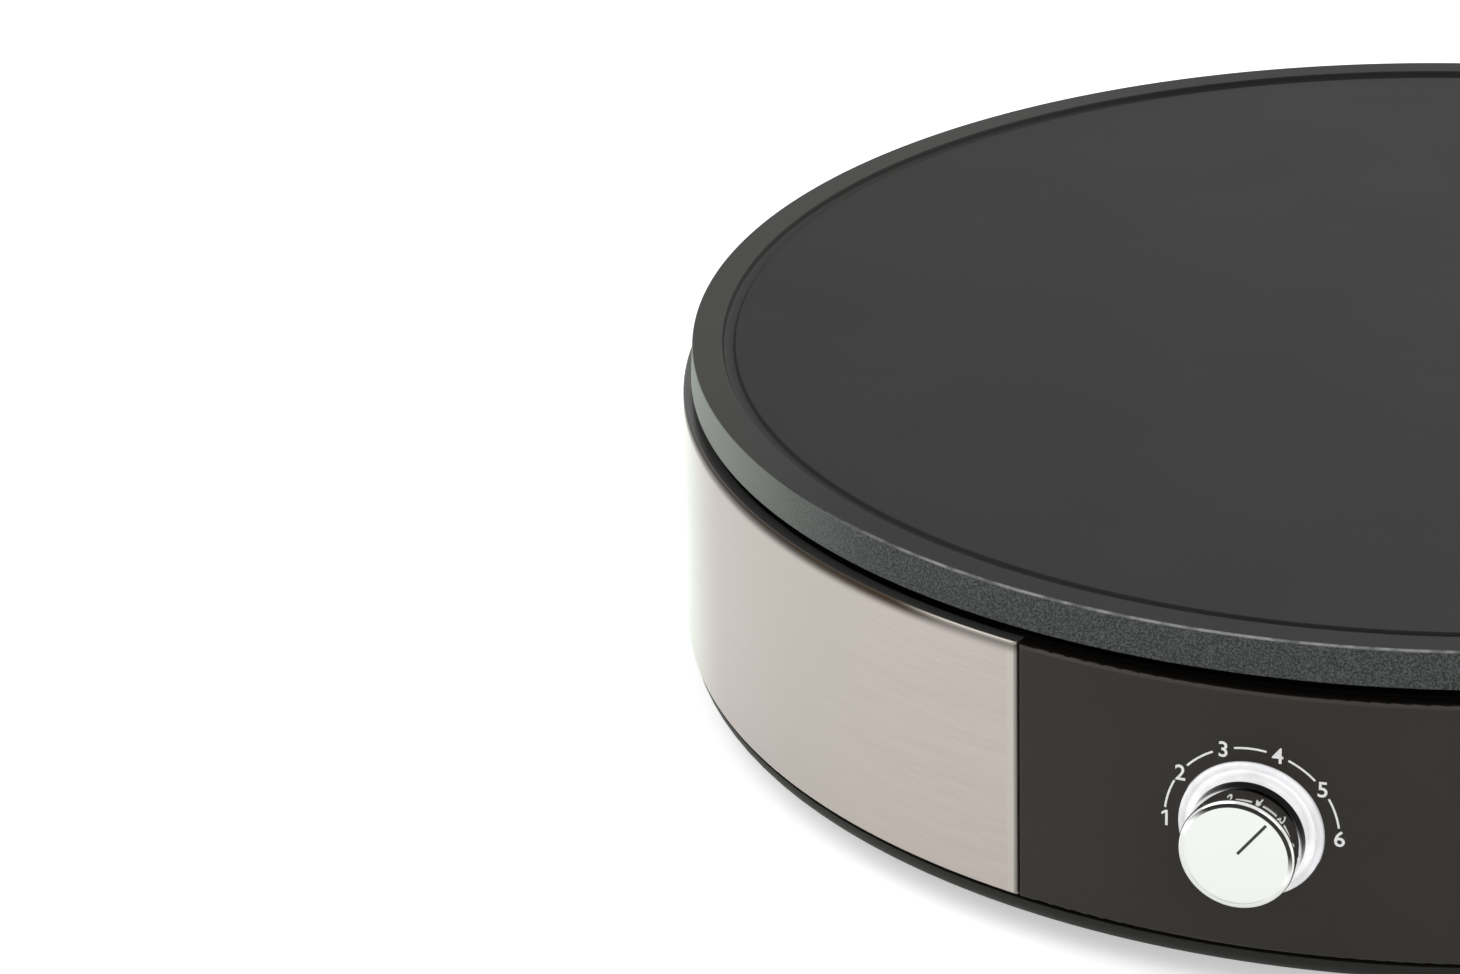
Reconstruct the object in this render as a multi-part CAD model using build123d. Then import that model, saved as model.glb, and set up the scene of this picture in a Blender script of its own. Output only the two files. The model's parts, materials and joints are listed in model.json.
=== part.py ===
from build123d import *

import os
from math import cos, degrees, radians, sin, sqrt, tan

# Round electric crepe maker for a countertop: a coated cast plate on a low drum, with a thermostat
# knob. The drum stands on z = 0 and its round axis is the z axis. The knob faces -y, and the mains
# lead enters at +y. An azimuth is measured from the front, towards +x.

os.makedirs("parts", exist_ok=True)

# ---------------------------------------------------------------- driving sizes, mm and degrees
# Drum and its skin
foot_drop = 5.0  # underside of the tray above the counter
tray_floor = 2.5
tray_corner = 4.5  # radius of the tray's lower corner
shadow_gap = 0.8  # between the tray's rim and the skin
drum_gap = 2.3  # from the plate's rim out to the skin's top edge
skin_flare = 1.0  # how much wider the skin is at its foot than at its top
skin_height = 55.4
front_half_angle = 17.0  # control panel
rear_half_angle = 10.0  # cord panel
trim_depth = 3.0  # how far the skin's folded edges and the two panels reach inwards
sheet = 0.8  # stainless steel side panels
pressed_edge = 1.5  # outside radius of their folded edges
panel_edge = 0.7  # radius of the moulded panels' edges
seam = 0.45  # between a side panel and its neighbour
fit = 0.1  # clearance between pieces that seat on each other

# Hotplate
plate_radius = 165.0
plate_draft = 0.5  # how much wider the plate's wall is at its foot
plate_wall_height = 7.9
plate_clearance = 2.3  # under the plate's wall, over the skin
plate_wall = 4.0
plate_thickness = 5.4
rim_width = 6.5
rim_round = 0.45
channel_width = 3.0
channel_depth = 1.3
surface_drop = 0.6  # cooking surface below the rim
boss_drop = 6.0  # mounting bosses below the plate's underside
boss_radius = 7.0
bolt_bite = 8.0  # length of each plate bolt inside its boss
mount_inset = 14.0  # from the deck's lip in to the circle of plate bolts
mount_azimuths = (45, 135, 225, 315)

# Heating element and what holds it
element_radius = 3.25
element_sink = 2.45  # how far the tube lies in the plate
element_inset = 45.0  # from the plate's rim in to the outer loop
loop_spacing = 42.0  # from the outer loop to the inner one
element_start = 172.0  # azimuth of both cold ends
element_sweep = 318.0
cold_bend = 10.0
cold_length = 12.0
strap_width = 12.0
strap_thickness = 1.5
strap_reach = 12.0  # past the centre line of each loop
strap_azimuths = (20, 110, 215, 300)
strap_boss_radius = 5.0
strap_lift = 0.3  # the bosses stop this far above the straps, so the straps bear on the tube
strap_screw, strap_head, strap_head_height = 2.0, 3.8, 1.9  # M4
strap_bite = 6.5
seal_radius, seal_length = 3.1, 4.0
pin_radius, pin_drop = 1.2, 4.0

# Housing ring
wall = 2.6
deck = 2.5
deck_width = 17.3  # from the skin's top edge in to the deck's lip
lip_height = 4.5
column_radius = 5.0
column_inset = 11.3  # from the skin's top edge in to the columns' circle
column_azimuths = (60, 120, 240, 300)
frame_depth = 3.0  # thickness of the frame behind the two moulded panels
frame_overlap = 2.5  # degrees that it runs on past the panel
window_inset = 3.0  # degrees between a panel's edge and its window
lug_width = 20.0
window_edge = 6.0  # frame below the window
window_top = 1.0  # frame between the window and the deck
panel_screw_inset = 4.0
panel_skin = 1.1  # left in front of the screws that hold a moulded panel
trim_inset = 0.6  # the tray's rim stands behind the skin by this

# Stack between the deck's lugs and the plate's bosses
washer_thickness = 1.0
shield_sheet = 0.6
standoff_length = 3.9
shield_gap = 4.0  # between the shield and the deck's lip
shield_rim = 3.5
shield_hole_gap = 1.5
bolt_radius, bolt_head, bolt_head_height = 2.5, 4.6, 2.6  # M5
bolt_clearance = 0.3

# Knob, light ring and thermostat
knob_below_middle = 1.85  # axis below the middle of the skin's height
knob_radius = 11.5
knob_reach = 11.2  # from the skin to the knob's face
knob_sink = 0.6  # the knob's rear edge behind the skin
knob_wall = 1.6
knob_face = 2.5
knob_edge = 1.2  # radius of the knob's front edge
knob_recess = 0.3  # the face lies this deep inside the edge
knob_boss_radius = 4.8
knob_boss_reach = 3.5  # behind the knob's rear edge
clip_thickness, clip_width, clip_inset = 0.5, 4.0, 0.8
pointer_angle = 39.0  # clockwise from straight up
pointer_inset = 2.1  # from the knob's side in to the pointer's outer end
pointer_length = 8.9
pointer_width = 0.5
pointer_depth = 0.35
ring_width = 2.4
ring_clearance = 0.5  # between the knob and the ring
ring_proud = 0.5
ring_sleeve = 5.5
ring_lip, ring_lip_thickness = 2.5, 1.0  # inwards behind the knob, so that light fills the gap
ring_flange = 1.3
ring_flange_thickness = 1.2
spindle_radius = 3.0
spindle_flat = 1.6  # distance of the flat from the axis
spindle_running = 0.05
collar_radius, collar_thickness, collar_gap = 5.0, 2.0, 0.4
case_width, case_depth, case_height = 36.0, 26.0, 28.0
case_wall = 1.2
case_setback = 13.54  # from the skin at the knob in to the case's face
bush_radius, bush_length = 5.0, 4.0
base_block_depth = 10.0
nut_across, nut_thickness = 13.5, 2.0
bracket_sheet = 1.6
bracket_foot = 18.0
tab_width, tab_thickness, tab_length = 6.3, 0.8, 8.0
tab_root, tab_spacing, tab_below = 6.0, 17.0, 5.0
sleeve_wall, sleeve_height, sleeve_overrun, crimp_length = 1.0, 3.6, 1.0, 4.0  # push-on receptacles
capillary_above = 8.0  # where the capillary leaves the case, above the spindle

# Lamp board
board_width, board_height, board_thickness = 52.0, 28.0, 1.6
board_hole = 9.0
lamp_size = 2.4
lamp_height = 1.0
lamp_count = 6
board_screw_x, board_screw_z = 21.0, 11.0
board_corner, board_post, board_screw_bite = 2.0, 2.9, 2.5
lamp_room = 0.3  # between the lamps and the ring

# Tray, feet and cord entry
spigot_wall = 2.0
spigot_height = 7.0
spigot_gap = 0.3
tray_boss_radius = 5.0
tray_boss_height = 3.0
tray_screw, tray_head, tray_head_height = 2.0, 3.8, 2.0  # M4
tray_bite = 9.0
foot_inset = 28.3  # from the skin's foot in to the circle of feet
foot_azimuths = (45, 135, 225, 315)
foot_radius = 11.0
foot_recess = 1.0
foot_stem = 3.0
vent_count = 18
vent_width = 4.0
vent_start, vent_length, vent_bridge = 40.0, 26.0, 14.0
vent_rows = 2
gland_rise = 21.7  # gland's axis above the skin's lower edge
gland_bore = 3.6
gland_neck = 6.0
gland_flange = 9.0
gland_nose = 10.0  # how far it stands out behind the skin
gland_seat = 0.9  # depth of the flat that its collar seats in
gland_collar, gland_thread, gland_nut, gland_nut_radius = 2.4, 12.0, 3.0, 9.4
gland_slots, gland_slot, gland_slot_depth = 3, 0.9, 1.5
gland_taper, gland_round = 0.8, 0.5
terminal_setback = 30.3  # from the skin's foot in to the middle of the block
terminal_pitch, terminal_depth, terminal_height = 10.0, 16.0, 13.0
terminal_half = 4.2  # half the width of one way
terminal_rise = 5.0  # of the wire ways above the block's foot
terminal_foot = 3.0  # thickness of the foot
terminal_well = 3.0  # depth of the screw wells
wire_way_gap = 0.5  # round a wire in its way

# Small fixings and wires
small_shank, small_head, small_head_height = 1.5, 2.9, 1.8
screw_gap = 0.1
wire_radius = 1.2
capillary_radius = 0.8
capillary_hole = 3.0
capillary_azimuth = 52.8  # where the capillary goes through the shield
capillary_inset = 5.2  # from the inner loop in to that place
capillary_slant = (2.0, 7.0, 6.0)  # half of its straight run through the shield
bulb_radius, bulb_length = 3.0, 70.0
bulb_y = -30.0
bulb_boss_radius, bulb_screw_spacing, bulb_strap_width = 3.5, 18.0, 10.0
small_bite = 2.5
small_nut, small_nut_radius = 2.0, 3.2
screw_tip = 0.6  # a clamping screw's end beyond its nut
fuse_x, fuse_y = 66.0, 56.0
fuse_radius, fuse_length, fuse_pigtail = 2.0, 12.0, 4.0
fuse_clip_width = 7.0
fuse_wing_half = 4.0
earth_spot = (-38.0, 34.0)
tag_radius, tag_thickness, tag_neck, tag_neck_half = 4.0, 1.0, 9.0, 2.0
barrel_length, barrel_wall = 5.0, 0.8
block_leave = (26.0, 24.0, 18.0)  # straight runs in front of the block: live, earth, neutral
tab_leave, pin_leave, fuse_leave, tag_leave = 14.0, 12.0, 12.0, 12.0

# ---------------------------------------------------------------- places worked out from them
skin_top_radius = plate_radius + drum_gap
skin_bottom_radius = skin_top_radius + skin_flare
lip_radius = skin_top_radius - deck_width
mount_circle = lip_radius - mount_inset
shield_radius = lip_radius - shield_gap
column_circle = skin_top_radius - column_inset
foot_circle = skin_bottom_radius - foot_inset
terminal_y = skin_bottom_radius - terminal_setback
outer_loop = plate_radius - element_inset
inner_loop = outer_loop - loop_spacing
tray_rim = foot_drop + tray_corner
floor_top = foot_drop + tray_floor
tray_boss_top = floor_top + tray_boss_height
skin_bottom = tray_rim + shadow_gap
skin_top = skin_bottom + skin_height
knob_height = (skin_bottom + skin_top) / 2 - knob_below_middle
gland_height = skin_bottom + gland_rise
plate_foot = skin_top + plate_clearance
rim_top = plate_foot + plate_wall_height
surface = rim_top - surface_drop
underside = surface - plate_thickness
boss_bottom = underside - boss_drop
shield_top = boss_bottom - standoff_length
shield_bottom = shield_top - shield_sheet
deck_top = shield_bottom - washer_thickness
deck_bottom = deck_top - deck
housing_bottom = skin_bottom + sheet + fit
housing_top = skin_top - sheet - fit
element_height = underside + element_sink - element_radius
strap_top = element_height - element_radius - fit
strap_bottom = strap_top - strap_thickness
behind_wall = sheet + fit + wall  # depth of the housing wall's inner face behind the skin
frame_face = trim_depth + fit  # depth of the frame's outer face behind the skin
frame_back = frame_face + frame_depth
bulb_strap_top = underside - 2 * fit - 2 * bulb_radius
fuse_wing = fuse_radius + fit + fuse_wing_half
fuse_screw_spots = ((fuse_x - fuse_wing, fuse_y), (fuse_x + fuse_wing, fuse_y))
terminal_wire = tray_boss_top + terminal_rise
terminal_top = tray_boss_top + terminal_height
far = 20.0  # how far a cutting tool runs past what it cuts


def skin_radius(z):
    """Radius of the drum's outer skin, which is a slightly tapered cone."""
    slope = (skin_top_radius - skin_bottom_radius) / skin_height
    return skin_bottom_radius + (z - skin_bottom) * slope


knob_seat = skin_radius(knob_height)  # where the knob's axis meets the skin
knob_face_out = knob_seat + knob_reach - knob_recess
case_front = knob_seat - case_setback
ring_inner = knob_radius + ring_clearance
ring_outer = ring_inner + ring_width
flange_front = sqrt((knob_seat - trim_depth) ** 2 - (ring_outer + ring_flange) ** 2) - fit
board_front = knob_seat - ring_sleeve - lamp_height - lamp_room
spindle_start = case_front - case_wall - collar_gap - collar_thickness - 1.5
spindle_end = knob_seat + knob_reach - knob_face - 0.8
capillary_exit = knob_height + capillary_above


# ---------------------------------------------------------------- small helpers
def at(azimuth, radius, z=0.0):
    a = radians(azimuth)
    return (radius * sin(a), -radius * cos(a), z)


def turned(azimuth, shape):
    """The shape, drawn at the front, carried round the drum to an azimuth."""
    return Rot(0, 0, azimuth) * shape


def profile(*points):
    """A closed face in the radius-height plane."""
    return make_face(Plane.XZ * Polyline(*points, close=True))


def ring_sector(face, az0, az1):
    return Rot(0, 0, az0 - 90) * revolve(face, Axis.Z, az1 - az0)


def skin_block(az0, az1, inner_depth, outer_depth, z0, z1):
    """The space between two depths behind the skin, from one azimuth to another."""
    face = profile(
        (skin_radius(z0) - inner_depth, z0),
        (skin_radius(z0) - outer_depth, z0),
        (skin_radius(z1) - outer_depth, z1),
        (skin_radius(z1) - inner_depth, z1),
    )
    return ring_sector(face, az0, az1)


def block(x0, x1, y0, y1, z0, z1):
    box = Box(x1 - x0, y1 - y0, z1 - z0)
    return Pos((x0 + x1) / 2, (y0 + y1) / 2, (z0 + z1) / 2) * box


def post(radius, z0, z1, spot=(0, 0)):
    """An upright cylinder."""
    return Pos(spot[0], spot[1], (z0 + z1) / 2) * Cylinder(radius, z1 - z0)


def pipe(outer, inner, z0, z1, spot=(0, 0)):
    return post(outer, z0, z1, spot) - post(inner, z0 - 1, z1 + 1, spot)


def axle(radius, out0, out1, x=0.0, z=knob_height):
    """A cylinder along -y, between two distances from the drum's axis."""
    return Pos(x, -(out0 + out1) / 2, z) * Rot(90, 0, 0) * Cylinder(radius, out1 - out0)


def screw(shank, length, head, head_height):
    """A pan head screw that points up, its head's seat at z = 0, with a cross recess."""
    body = post(shank, 0, length) + fillet(
        post(head, -head_height, 0).edges().sort_by(Axis.Z)[0], head_height * 0.45
    )
    for turn in (0, 90):
        slot = Box(head * 1.1, head * 0.24, head_height)
        body -= Rot(0, 0, turn) * Pos(0, 0, -head_height) * slot
    return body


def tube(points, radii, radius):
    """A round tube along straight runs joined by tangent arcs."""
    path = FilletPolyline(*points, radius=radii)
    return sweep(Plane(origin=path @ 0, z_dir=path % 0) * Circle(radius), path=path)


def save(name, *pieces):
    solids = [s for p in pieces for s in p.solids()]
    export_step(Compound(solids) if len(solids) > 1 else solids[0], f"parts/{name}.step")


# ---------------------------------------------------------------- heating element
def element_path():
    """From one cold end up, round the outer loop, back along the inner loop and down again."""
    z = element_height
    a0, a1 = element_start, element_start + element_sweep
    middle = (outer_loop + inner_loop) / 2
    turn_out = (outer_loop - inner_loop) / 2
    beyond = a1 + degrees(turn_out / middle)

    def tangent(azimuth):
        a = radians(azimuth)
        return Vector(cos(a), sin(a), 0)

    def cold_end(loop):
        start = Vector(*at(a0, loop, z))
        foot = start - tangent(a0) * cold_bend - Vector(0, 0, cold_bend)
        knee = start - tangent(a0) * cold_bend * sin(radians(45))
        knee -= Vector(0, 0, cold_bend * (1 - cos(radians(45))))
        return foot - Vector(0, 0, cold_length), foot, knee, start

    tip_a, foot_a, knee_a, start_a = cold_end(outer_loop)
    tip_b, foot_b, knee_b, start_b = cold_end(inner_loop)
    mid = (a0 + a1) / 2
    u_centre = Vector(*at(a1, middle, z))
    u_top = u_centre + tangent(a1) * turn_out
    edges = [
        Line(tip_a, foot_a),
        ThreePointArc(foot_a, knee_a, start_a),
        ThreePointArc(start_a, at(mid, outer_loop, z), at(a1, outer_loop, z)),
        ThreePointArc(at(a1, outer_loop, z), u_top, at(a1, inner_loop, z)),
        ThreePointArc(at(a1, inner_loop, z), at(mid, inner_loop, z), start_b),
        ThreePointArc(start_b, knee_b, foot_b),
        Line(foot_b, tip_b),
    ]
    return Wire(edges), tip_a, tip_b


element_line, cold_tip_a, cold_tip_b = element_path()
capillary_pass = at(capillary_azimuth, inner_loop - capillary_inset)[:2]


def along_element(radius):
    start = Plane(origin=element_line @ 0, z_dir=element_line % 0)
    return sweep(start * Circle(radius), path=element_line)


# ---------------------------------------------------------------- plate and heating
def eased(face, size, *corners):
    """The profile with the named corners rounded."""
    chosen = []
    for x, z in corners:
        chosen.append(min(face.vertices(), key=lambda v: (v.X - x) ** 2 + (v.Z - z) ** 2))
    return fillet(chosen, size)


def on_circle(azimuths, radius, piece):
    """Copies of a piece, drawn on the axis, at each azimuth of a circle."""
    return [Pos(*at(a, radius)) * Rot(0, 0, a) * piece for a in azimuths]


def make_hotplate():
    inside = plate_radius - plate_wall
    channel_out = plate_radius - rim_width
    channel_in = channel_out - channel_width
    channel_floor = rim_top - channel_depth
    slant = channel_width / 6
    face = profile(
        (0, underside),
        (inside, underside),
        (inside, plate_foot),
        (plate_radius + plate_draft, plate_foot),
        (plate_radius, rim_top),
        (channel_out, rim_top),
        (channel_out - slant, channel_floor),
        (channel_in + slant, channel_floor),
        (channel_in, surface),
        (0, surface),
    )
    face = eased(
        face, rim_round, (plate_radius, rim_top), (channel_out, rim_top), (channel_in, surface)
    )
    body = revolve(face, Axis.Z)
    for boss in on_circle(mount_azimuths, mount_circle, post(boss_radius, boss_bottom, underside + 1)):
        body += boss
    middle = (outer_loop + inner_loop) / 2
    strap_boss = post(strap_boss_radius, strap_top + strap_lift, underside + 1)
    for boss in on_circle(strap_azimuths, middle, strap_boss):
        body += boss
    for side in (-1, 1):
        spot = (0, bulb_y + side * bulb_screw_spacing / 2)
        body += post(bulb_boss_radius, bulb_strap_top, underside + 1, spot)
        body -= post(small_shank + screw_gap, bulb_strap_top - 1, underside + small_bite, spot)
    bolt_hole = post(bolt_radius + screw_gap, boss_bottom - 1, boss_bottom + bolt_bite + 1)
    for hole in on_circle(mount_azimuths, mount_circle, bolt_hole):
        body -= hole
    strap_hole = post(strap_screw + screw_gap, strap_bottom, strap_top + strap_bite + 1)
    for hole in on_circle(strap_azimuths, middle, strap_hole):
        body -= hole
    return body - along_element(element_radius + fit / 2)


def make_element_pins():
    """Ceramic seals in the cold ends, and the pins with their push-on tabs below them."""
    seals = []
    pins = []
    for tip in (cold_tip_a, cold_tip_b):
        spot = (tip.X, tip.Y)
        seal = post(seal_radius, tip.Z - seal_length, tip.Z, spot)
        seal -= post(pin_radius + screw_gap / 2, tip.Z - seal_length - 1, tip.Z + 1, spot)
        seals.append(seal)
        tab_top = tip.Z - seal_length - pin_drop
        pin = post(pin_radius, tab_top, tip.Z, spot)
        pin += block(
            tip.X - tab_width / 2,
            tip.X + tab_width / 2,
            tip.Y - tab_thickness / 2,
            tip.Y + tab_thickness / 2,
            tab_top - tab_length,
            tab_top,
        )
        pins.append(pin)
    return seals, pins


def make_element_straps():
    middle = (outer_loop + inner_loop) / 2
    reach = (outer_loop - inner_loop) / 2 + strap_reach
    strap = block(
        -strap_width / 2, strap_width / 2, -reach, reach, strap_bottom, strap_top
    )
    strap = fillet(strap.edges().filter_by(Axis.Z), strap_width / 4)
    strap -= post(strap_screw + bolt_clearance, strap_bottom - 1, strap_top + 1)
    bolt = Pos(0, 0, strap_bottom) * screw(
        strap_screw, strap_thickness + strap_bite, strap_head, strap_head_height
    )
    return on_circle(strap_azimuths, middle, strap), on_circle(strap_azimuths, middle, bolt)


def make_heat_shield():
    face = profile(
        (0, shield_bottom),
        (shield_radius, shield_bottom),
        (shield_radius, shield_top + shield_rim),
        (shield_radius - shield_sheet, shield_top + shield_rim),
        (shield_radius - shield_sheet, shield_top),
        (0, shield_top),
    )
    body = revolve(face, Axis.Z)
    bolt_hole = post(bolt_radius + bolt_clearance, shield_bottom - 1, shield_top + 1)
    for hole in on_circle(mount_azimuths, mount_circle, bolt_hole):
        body -= hole
    for tip in (cold_tip_a, cold_tip_b):
        spot = (tip.X, tip.Y)
        body -= post(element_radius + shield_hole_gap, shield_bottom - 1, shield_top + 1, spot)
    body -= post(capillary_hole, shield_bottom - 1, shield_top + 1, capillary_pass)
    for spot in (earth_spot, *fuse_screw_spots):
        body -= post(small_shank + screw_gap, shield_bottom - 1, shield_top + 1, spot)
    return body


def make_plate_stack():
    """Washers under the shield, standoffs over it, and the bolts up into the plate's bosses."""
    washer = pipe(boss_radius, bolt_radius + bolt_clearance, deck_top, shield_bottom)
    standoff = pipe(boss_radius, bolt_radius + bolt_clearance, shield_top, boss_bottom)
    length = boss_bottom - deck_bottom + bolt_bite
    bolt = Pos(0, 0, deck_bottom) * screw(bolt_radius, length, bolt_head, bolt_head_height)
    return [on_circle(mount_azimuths, mount_circle, p) for p in (washer, standoff, bolt)]


# ---------------------------------------------------------------- housing and skin
def make_housing():
    """Moulded ring: the wall behind the side panels, a frame behind each moulded panel, the deck."""
    ends = degrees((sheet + 2 * fit + seam) / skin_top_radius)
    starts = (front_half_angle + ends, 180 + rear_half_angle + ends)
    stops = (180 - rear_half_angle - ends, 360 - front_half_angle - ends)
    body = None
    for start, stop in zip(starts, stops):
        side = skin_block(start, stop, behind_wall, sheet + fit, housing_bottom, housing_top)
        outside = side.faces().sort_by(SortBy.AREA)[-1]
        side = fillet(outside.edges(), pressed_edge - sheet)
        body = side if body is None else body + side
    for centre, half in ((0, front_half_angle), (180, rear_half_angle)):
        reach = half + frame_overlap
        frame = skin_block(
            centre - reach, centre + reach, frame_back, frame_face, housing_bottom, housing_top
        )
        opening = half - window_inset
        frame -= skin_block(
            centre - opening,
            centre + opening,
            frame_back + 1,
            frame_face - 1,
            housing_bottom + window_edge,
            deck_bottom - window_top,
        )
        body += frame
    deck_edge = skin_radius(deck_bottom) - behind_wall + 1
    ring = profile(
        (lip_radius, deck_bottom),
        (deck_edge, deck_bottom),
        (deck_edge, deck_top),
        (lip_radius + deck, deck_top),
        (lip_radius + deck, deck_top + lip_height),
        (lip_radius, deck_top + lip_height),
    )
    shelf = revolve(ring, Axis.Z)
    for centre, half in ((0, front_half_angle), (180, rear_half_angle)):
        reach = half + ends + 0.1
        shelf -= skin_block(
            centre - reach, centre + reach, frame_face + 0.5, -1, deck_bottom - 1, deck_top + 1
        )
    body += shelf
    lug = block(
        -lug_width / 2,
        lug_width / 2,
        -(lip_radius - mount_circle + deck / 2),
        lug_width / 2,
        deck_bottom,
        deck_top,
    )
    lug = fillet(lug.edges().filter_by(Axis.Z).sort_by(Axis.Y)[-2:], lug_width / 2.5)
    for piece in on_circle(mount_azimuths, mount_circle, lug):
        body += piece
    hole = post(bolt_radius + bolt_clearance, deck_bottom - 1, deck_top + 1)
    for piece in on_circle(mount_azimuths, mount_circle, hole):
        body -= piece
    column = post(column_radius, tray_boss_top, deck_top)
    pilot = post(tray_screw + screw_gap, tray_boss_top - 1, tray_boss_top + tray_bite + 1)
    for piece in on_circle(column_azimuths, column_circle, column):
        body += piece
    for piece in on_circle(column_azimuths, column_circle, pilot):
        body -= piece
    for tool in panel_screw_holes(screw_gap + small_shank, frame_back + 1, frame_face - 1):
        body -= tool
    relief = ring_outer + ring_flange + fit
    return body - axle(relief, flange_front - far / 2, flange_front + far / 2)


def panel_screw_places():
    """Azimuth and height of each screw that holds a moulded panel to its frame."""
    places = []
    for centre, half in ((0, front_half_angle), (180, rear_half_angle)):
        for side in (-1, 1):
            for z in (skin_bottom + panel_screw_inset, deck_bottom - panel_screw_inset):
                places.append((centre + side * (half - window_inset / 2), z))
    return places


def panel_screw_holes(radius, inner_depth, outer_depth):
    holes = []
    for azimuth, z in panel_screw_places():
        r = skin_radius(z)
        holes.append(turned(azimuth, axle(radius, r - inner_depth, r - outer_depth, z=z)))
    return holes


def make_panel_screws(front):
    screws = []
    for azimuth, z in panel_screw_places():
        if (azimuth < 90) == front:
            one = screw(small_shank, frame_back - panel_skin, small_head, small_head_height)
            seat = skin_radius(z) - frame_back - 2 * fit
            screws.append(turned(azimuth, Pos(0, -seat, z) * Rot(90, 0, 0) * one))
    return screws


def make_side_panel(az0, az1):
    """Pressed sheet with its four edges folded inwards."""
    end = degrees(seam / 2 / skin_top_radius)
    outer = skin_block(az0 + end, az1 - end, trim_depth, 0, skin_bottom, skin_top)
    outside = outer.faces().sort_by(SortBy.AREA)[-1]
    outer = fillet(outside.edges(), pressed_edge)
    fold = end + degrees(sheet / skin_top_radius)
    hollow = skin_block(
        az0 + fold, az1 - fold, trim_depth + 1, sheet, skin_bottom + sheet, skin_top - sheet
    )
    face = hollow.faces().sort_by(SortBy.AREA)[-1]
    return outer - fillet(face.edges(), pressed_edge - sheet)


def make_moulded_panel(centre, half):
    end = degrees(seam / 2 / skin_top_radius)
    body = skin_block(
        centre - half + end, centre + half - end, trim_depth, 0, skin_bottom, skin_top
    )
    outside = body.faces().sort_by(SortBy.AREA)[-1]
    body = fillet(outside.edges(), panel_edge)
    for hole in panel_screw_holes(small_shank + screw_gap, trim_depth + 1, panel_skin):
        body -= hole
    return body


def make_control_panel():
    body = make_moulded_panel(0, front_half_angle)
    for x, z in board_screw_places():
        inner = knob_seat - trim_depth / 2
        body += axle(board_post, board_front, inner, x, z) - skin_block(
            -front_half_angle, front_half_angle, trim_depth / 2, -1, skin_bottom, skin_top
        )
        body -= axle(small_shank + screw_gap, board_front - 1, inner - 1, x, z)
    body -= axle(ring_outer + fit, knob_seat - far, knob_seat + 1)
    return body - axle(ring_outer + ring_flange + fit, knob_seat - far, flange_front + fit)


def make_cord_panel():
    body = make_moulded_panel(180, rear_half_angle)
    skin = skin_radius(gland_height)
    hole = axle(gland_neck + fit, skin - far, skin + far, z=gland_height)
    hole += axle(gland_flange + fit, skin - gland_seat, skin + far, z=gland_height)
    hole += axle(gland_nut_radius + fit, skin - far, skin - trim_depth, z=gland_height)
    return body - turned(180, hole)


# ---------------------------------------------------------------- knob, ring and lamps
def make_light_ring():
    face_out = knob_seat + ring_proud
    lip_front = knob_seat - knob_sink - ring_clearance
    body = axle(ring_outer, knob_seat - ring_sleeve, face_out)
    body = chamfer(body.edges().sort_by(Axis.Y)[0], ring_proud / 2)
    body += axle(ring_outer + ring_flange, flange_front - ring_flange_thickness, flange_front)
    body -= axle(ring_inner, lip_front, knob_seat + far)
    body -= axle(ring_inner, knob_seat - far, lip_front - ring_lip_thickness)
    return body - axle(ring_inner - ring_lip, knob_seat - far, knob_seat + far)


def make_knob():
    front = knob_seat + knob_reach
    rear = knob_seat - knob_sink
    body = axle(knob_radius, rear, front)
    body = fillet(body.edges().sort_by(Axis.Y)[0], knob_edge)
    body -= axle(knob_radius - knob_edge, knob_face_out, front + 1)
    hollow = axle(knob_radius - knob_wall, rear - 1, front - knob_face)
    body -= hollow - axle(knob_boss_radius, rear - 2, front)
    body += axle(knob_boss_radius, rear - knob_boss_reach, rear + 1)
    bore = axle(spindle_radius + spindle_running, rear - far, spindle_end + spindle_running)
    bore -= spindle_key(rear - far, spindle_end + 1, spindle_flat + spindle_running)
    body -= bore
    return body - pointer_bar(pointer_width + 2 * spindle_running, knob_face_out - pointer_depth, front + 1)


def spindle_key(out0, out1, flat):
    """What the flat takes off a spindle."""
    z = knob_height + flat
    return block(-far, far, -out1, -out0, z, z + far)


def pointer_bar(width, out0, out1):
    start = knob_radius - pointer_inset - pointer_length
    bar = block(-width / 2, width / 2, -out1, -out0, start, start + pointer_length)
    return Pos(0, 0, knob_height) * Rot(0, pointer_angle, 0) * bar


def make_spindle():
    body = axle(spindle_radius, spindle_start, spindle_end)
    body -= spindle_key(knob_seat - knob_sink - knob_boss_reach, spindle_end + 1, spindle_flat)
    collar_out = case_front - case_wall - collar_gap
    return body + axle(collar_radius, collar_out - collar_thickness, collar_out)


def make_knob_clip():
    inner = knob_boss_radius + spindle_running
    rear = knob_seat - knob_sink - knob_boss_reach + clip_inset
    return axle(inner + clip_thickness, rear, rear + clip_width) - axle(inner, rear - 1, rear + 20)


def board_screw_places():
    return [
        (sx * board_screw_x, knob_height + sz * board_screw_z) for sx in (-1, 1) for sz in (-1, 1)
    ]


def make_lamp_board():
    body = block(
        -board_width / 2,
        board_width / 2,
        -board_front,
        -board_front + board_thickness,
        knob_height - board_height / 2,
        knob_height + board_height / 2,
    )
    body = fillet(body.edges().filter_by(Axis.Y), board_corner)
    body -= axle(board_hole, board_front - far, board_front + far)
    for x, z in board_screw_places():
        body -= axle(small_shank + screw_gap, board_front - far, board_front + 1, x, z)
    return body


def make_lamps():
    middle = (ring_inner + ring_outer) / 2
    lamps = []
    for k in range(lamp_count):
        lamp = block(
            -lamp_size / 2,
            lamp_size / 2,
            -board_front - lamp_height,
            -board_front,
            middle - lamp_size / 2,
            middle + lamp_size / 2,
        )
        lamps.append(Pos(0, 0, knob_height) * Rot(0, 360 * (k + 0.5) / lamp_count, 0) * lamp)
    return lamps


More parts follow.
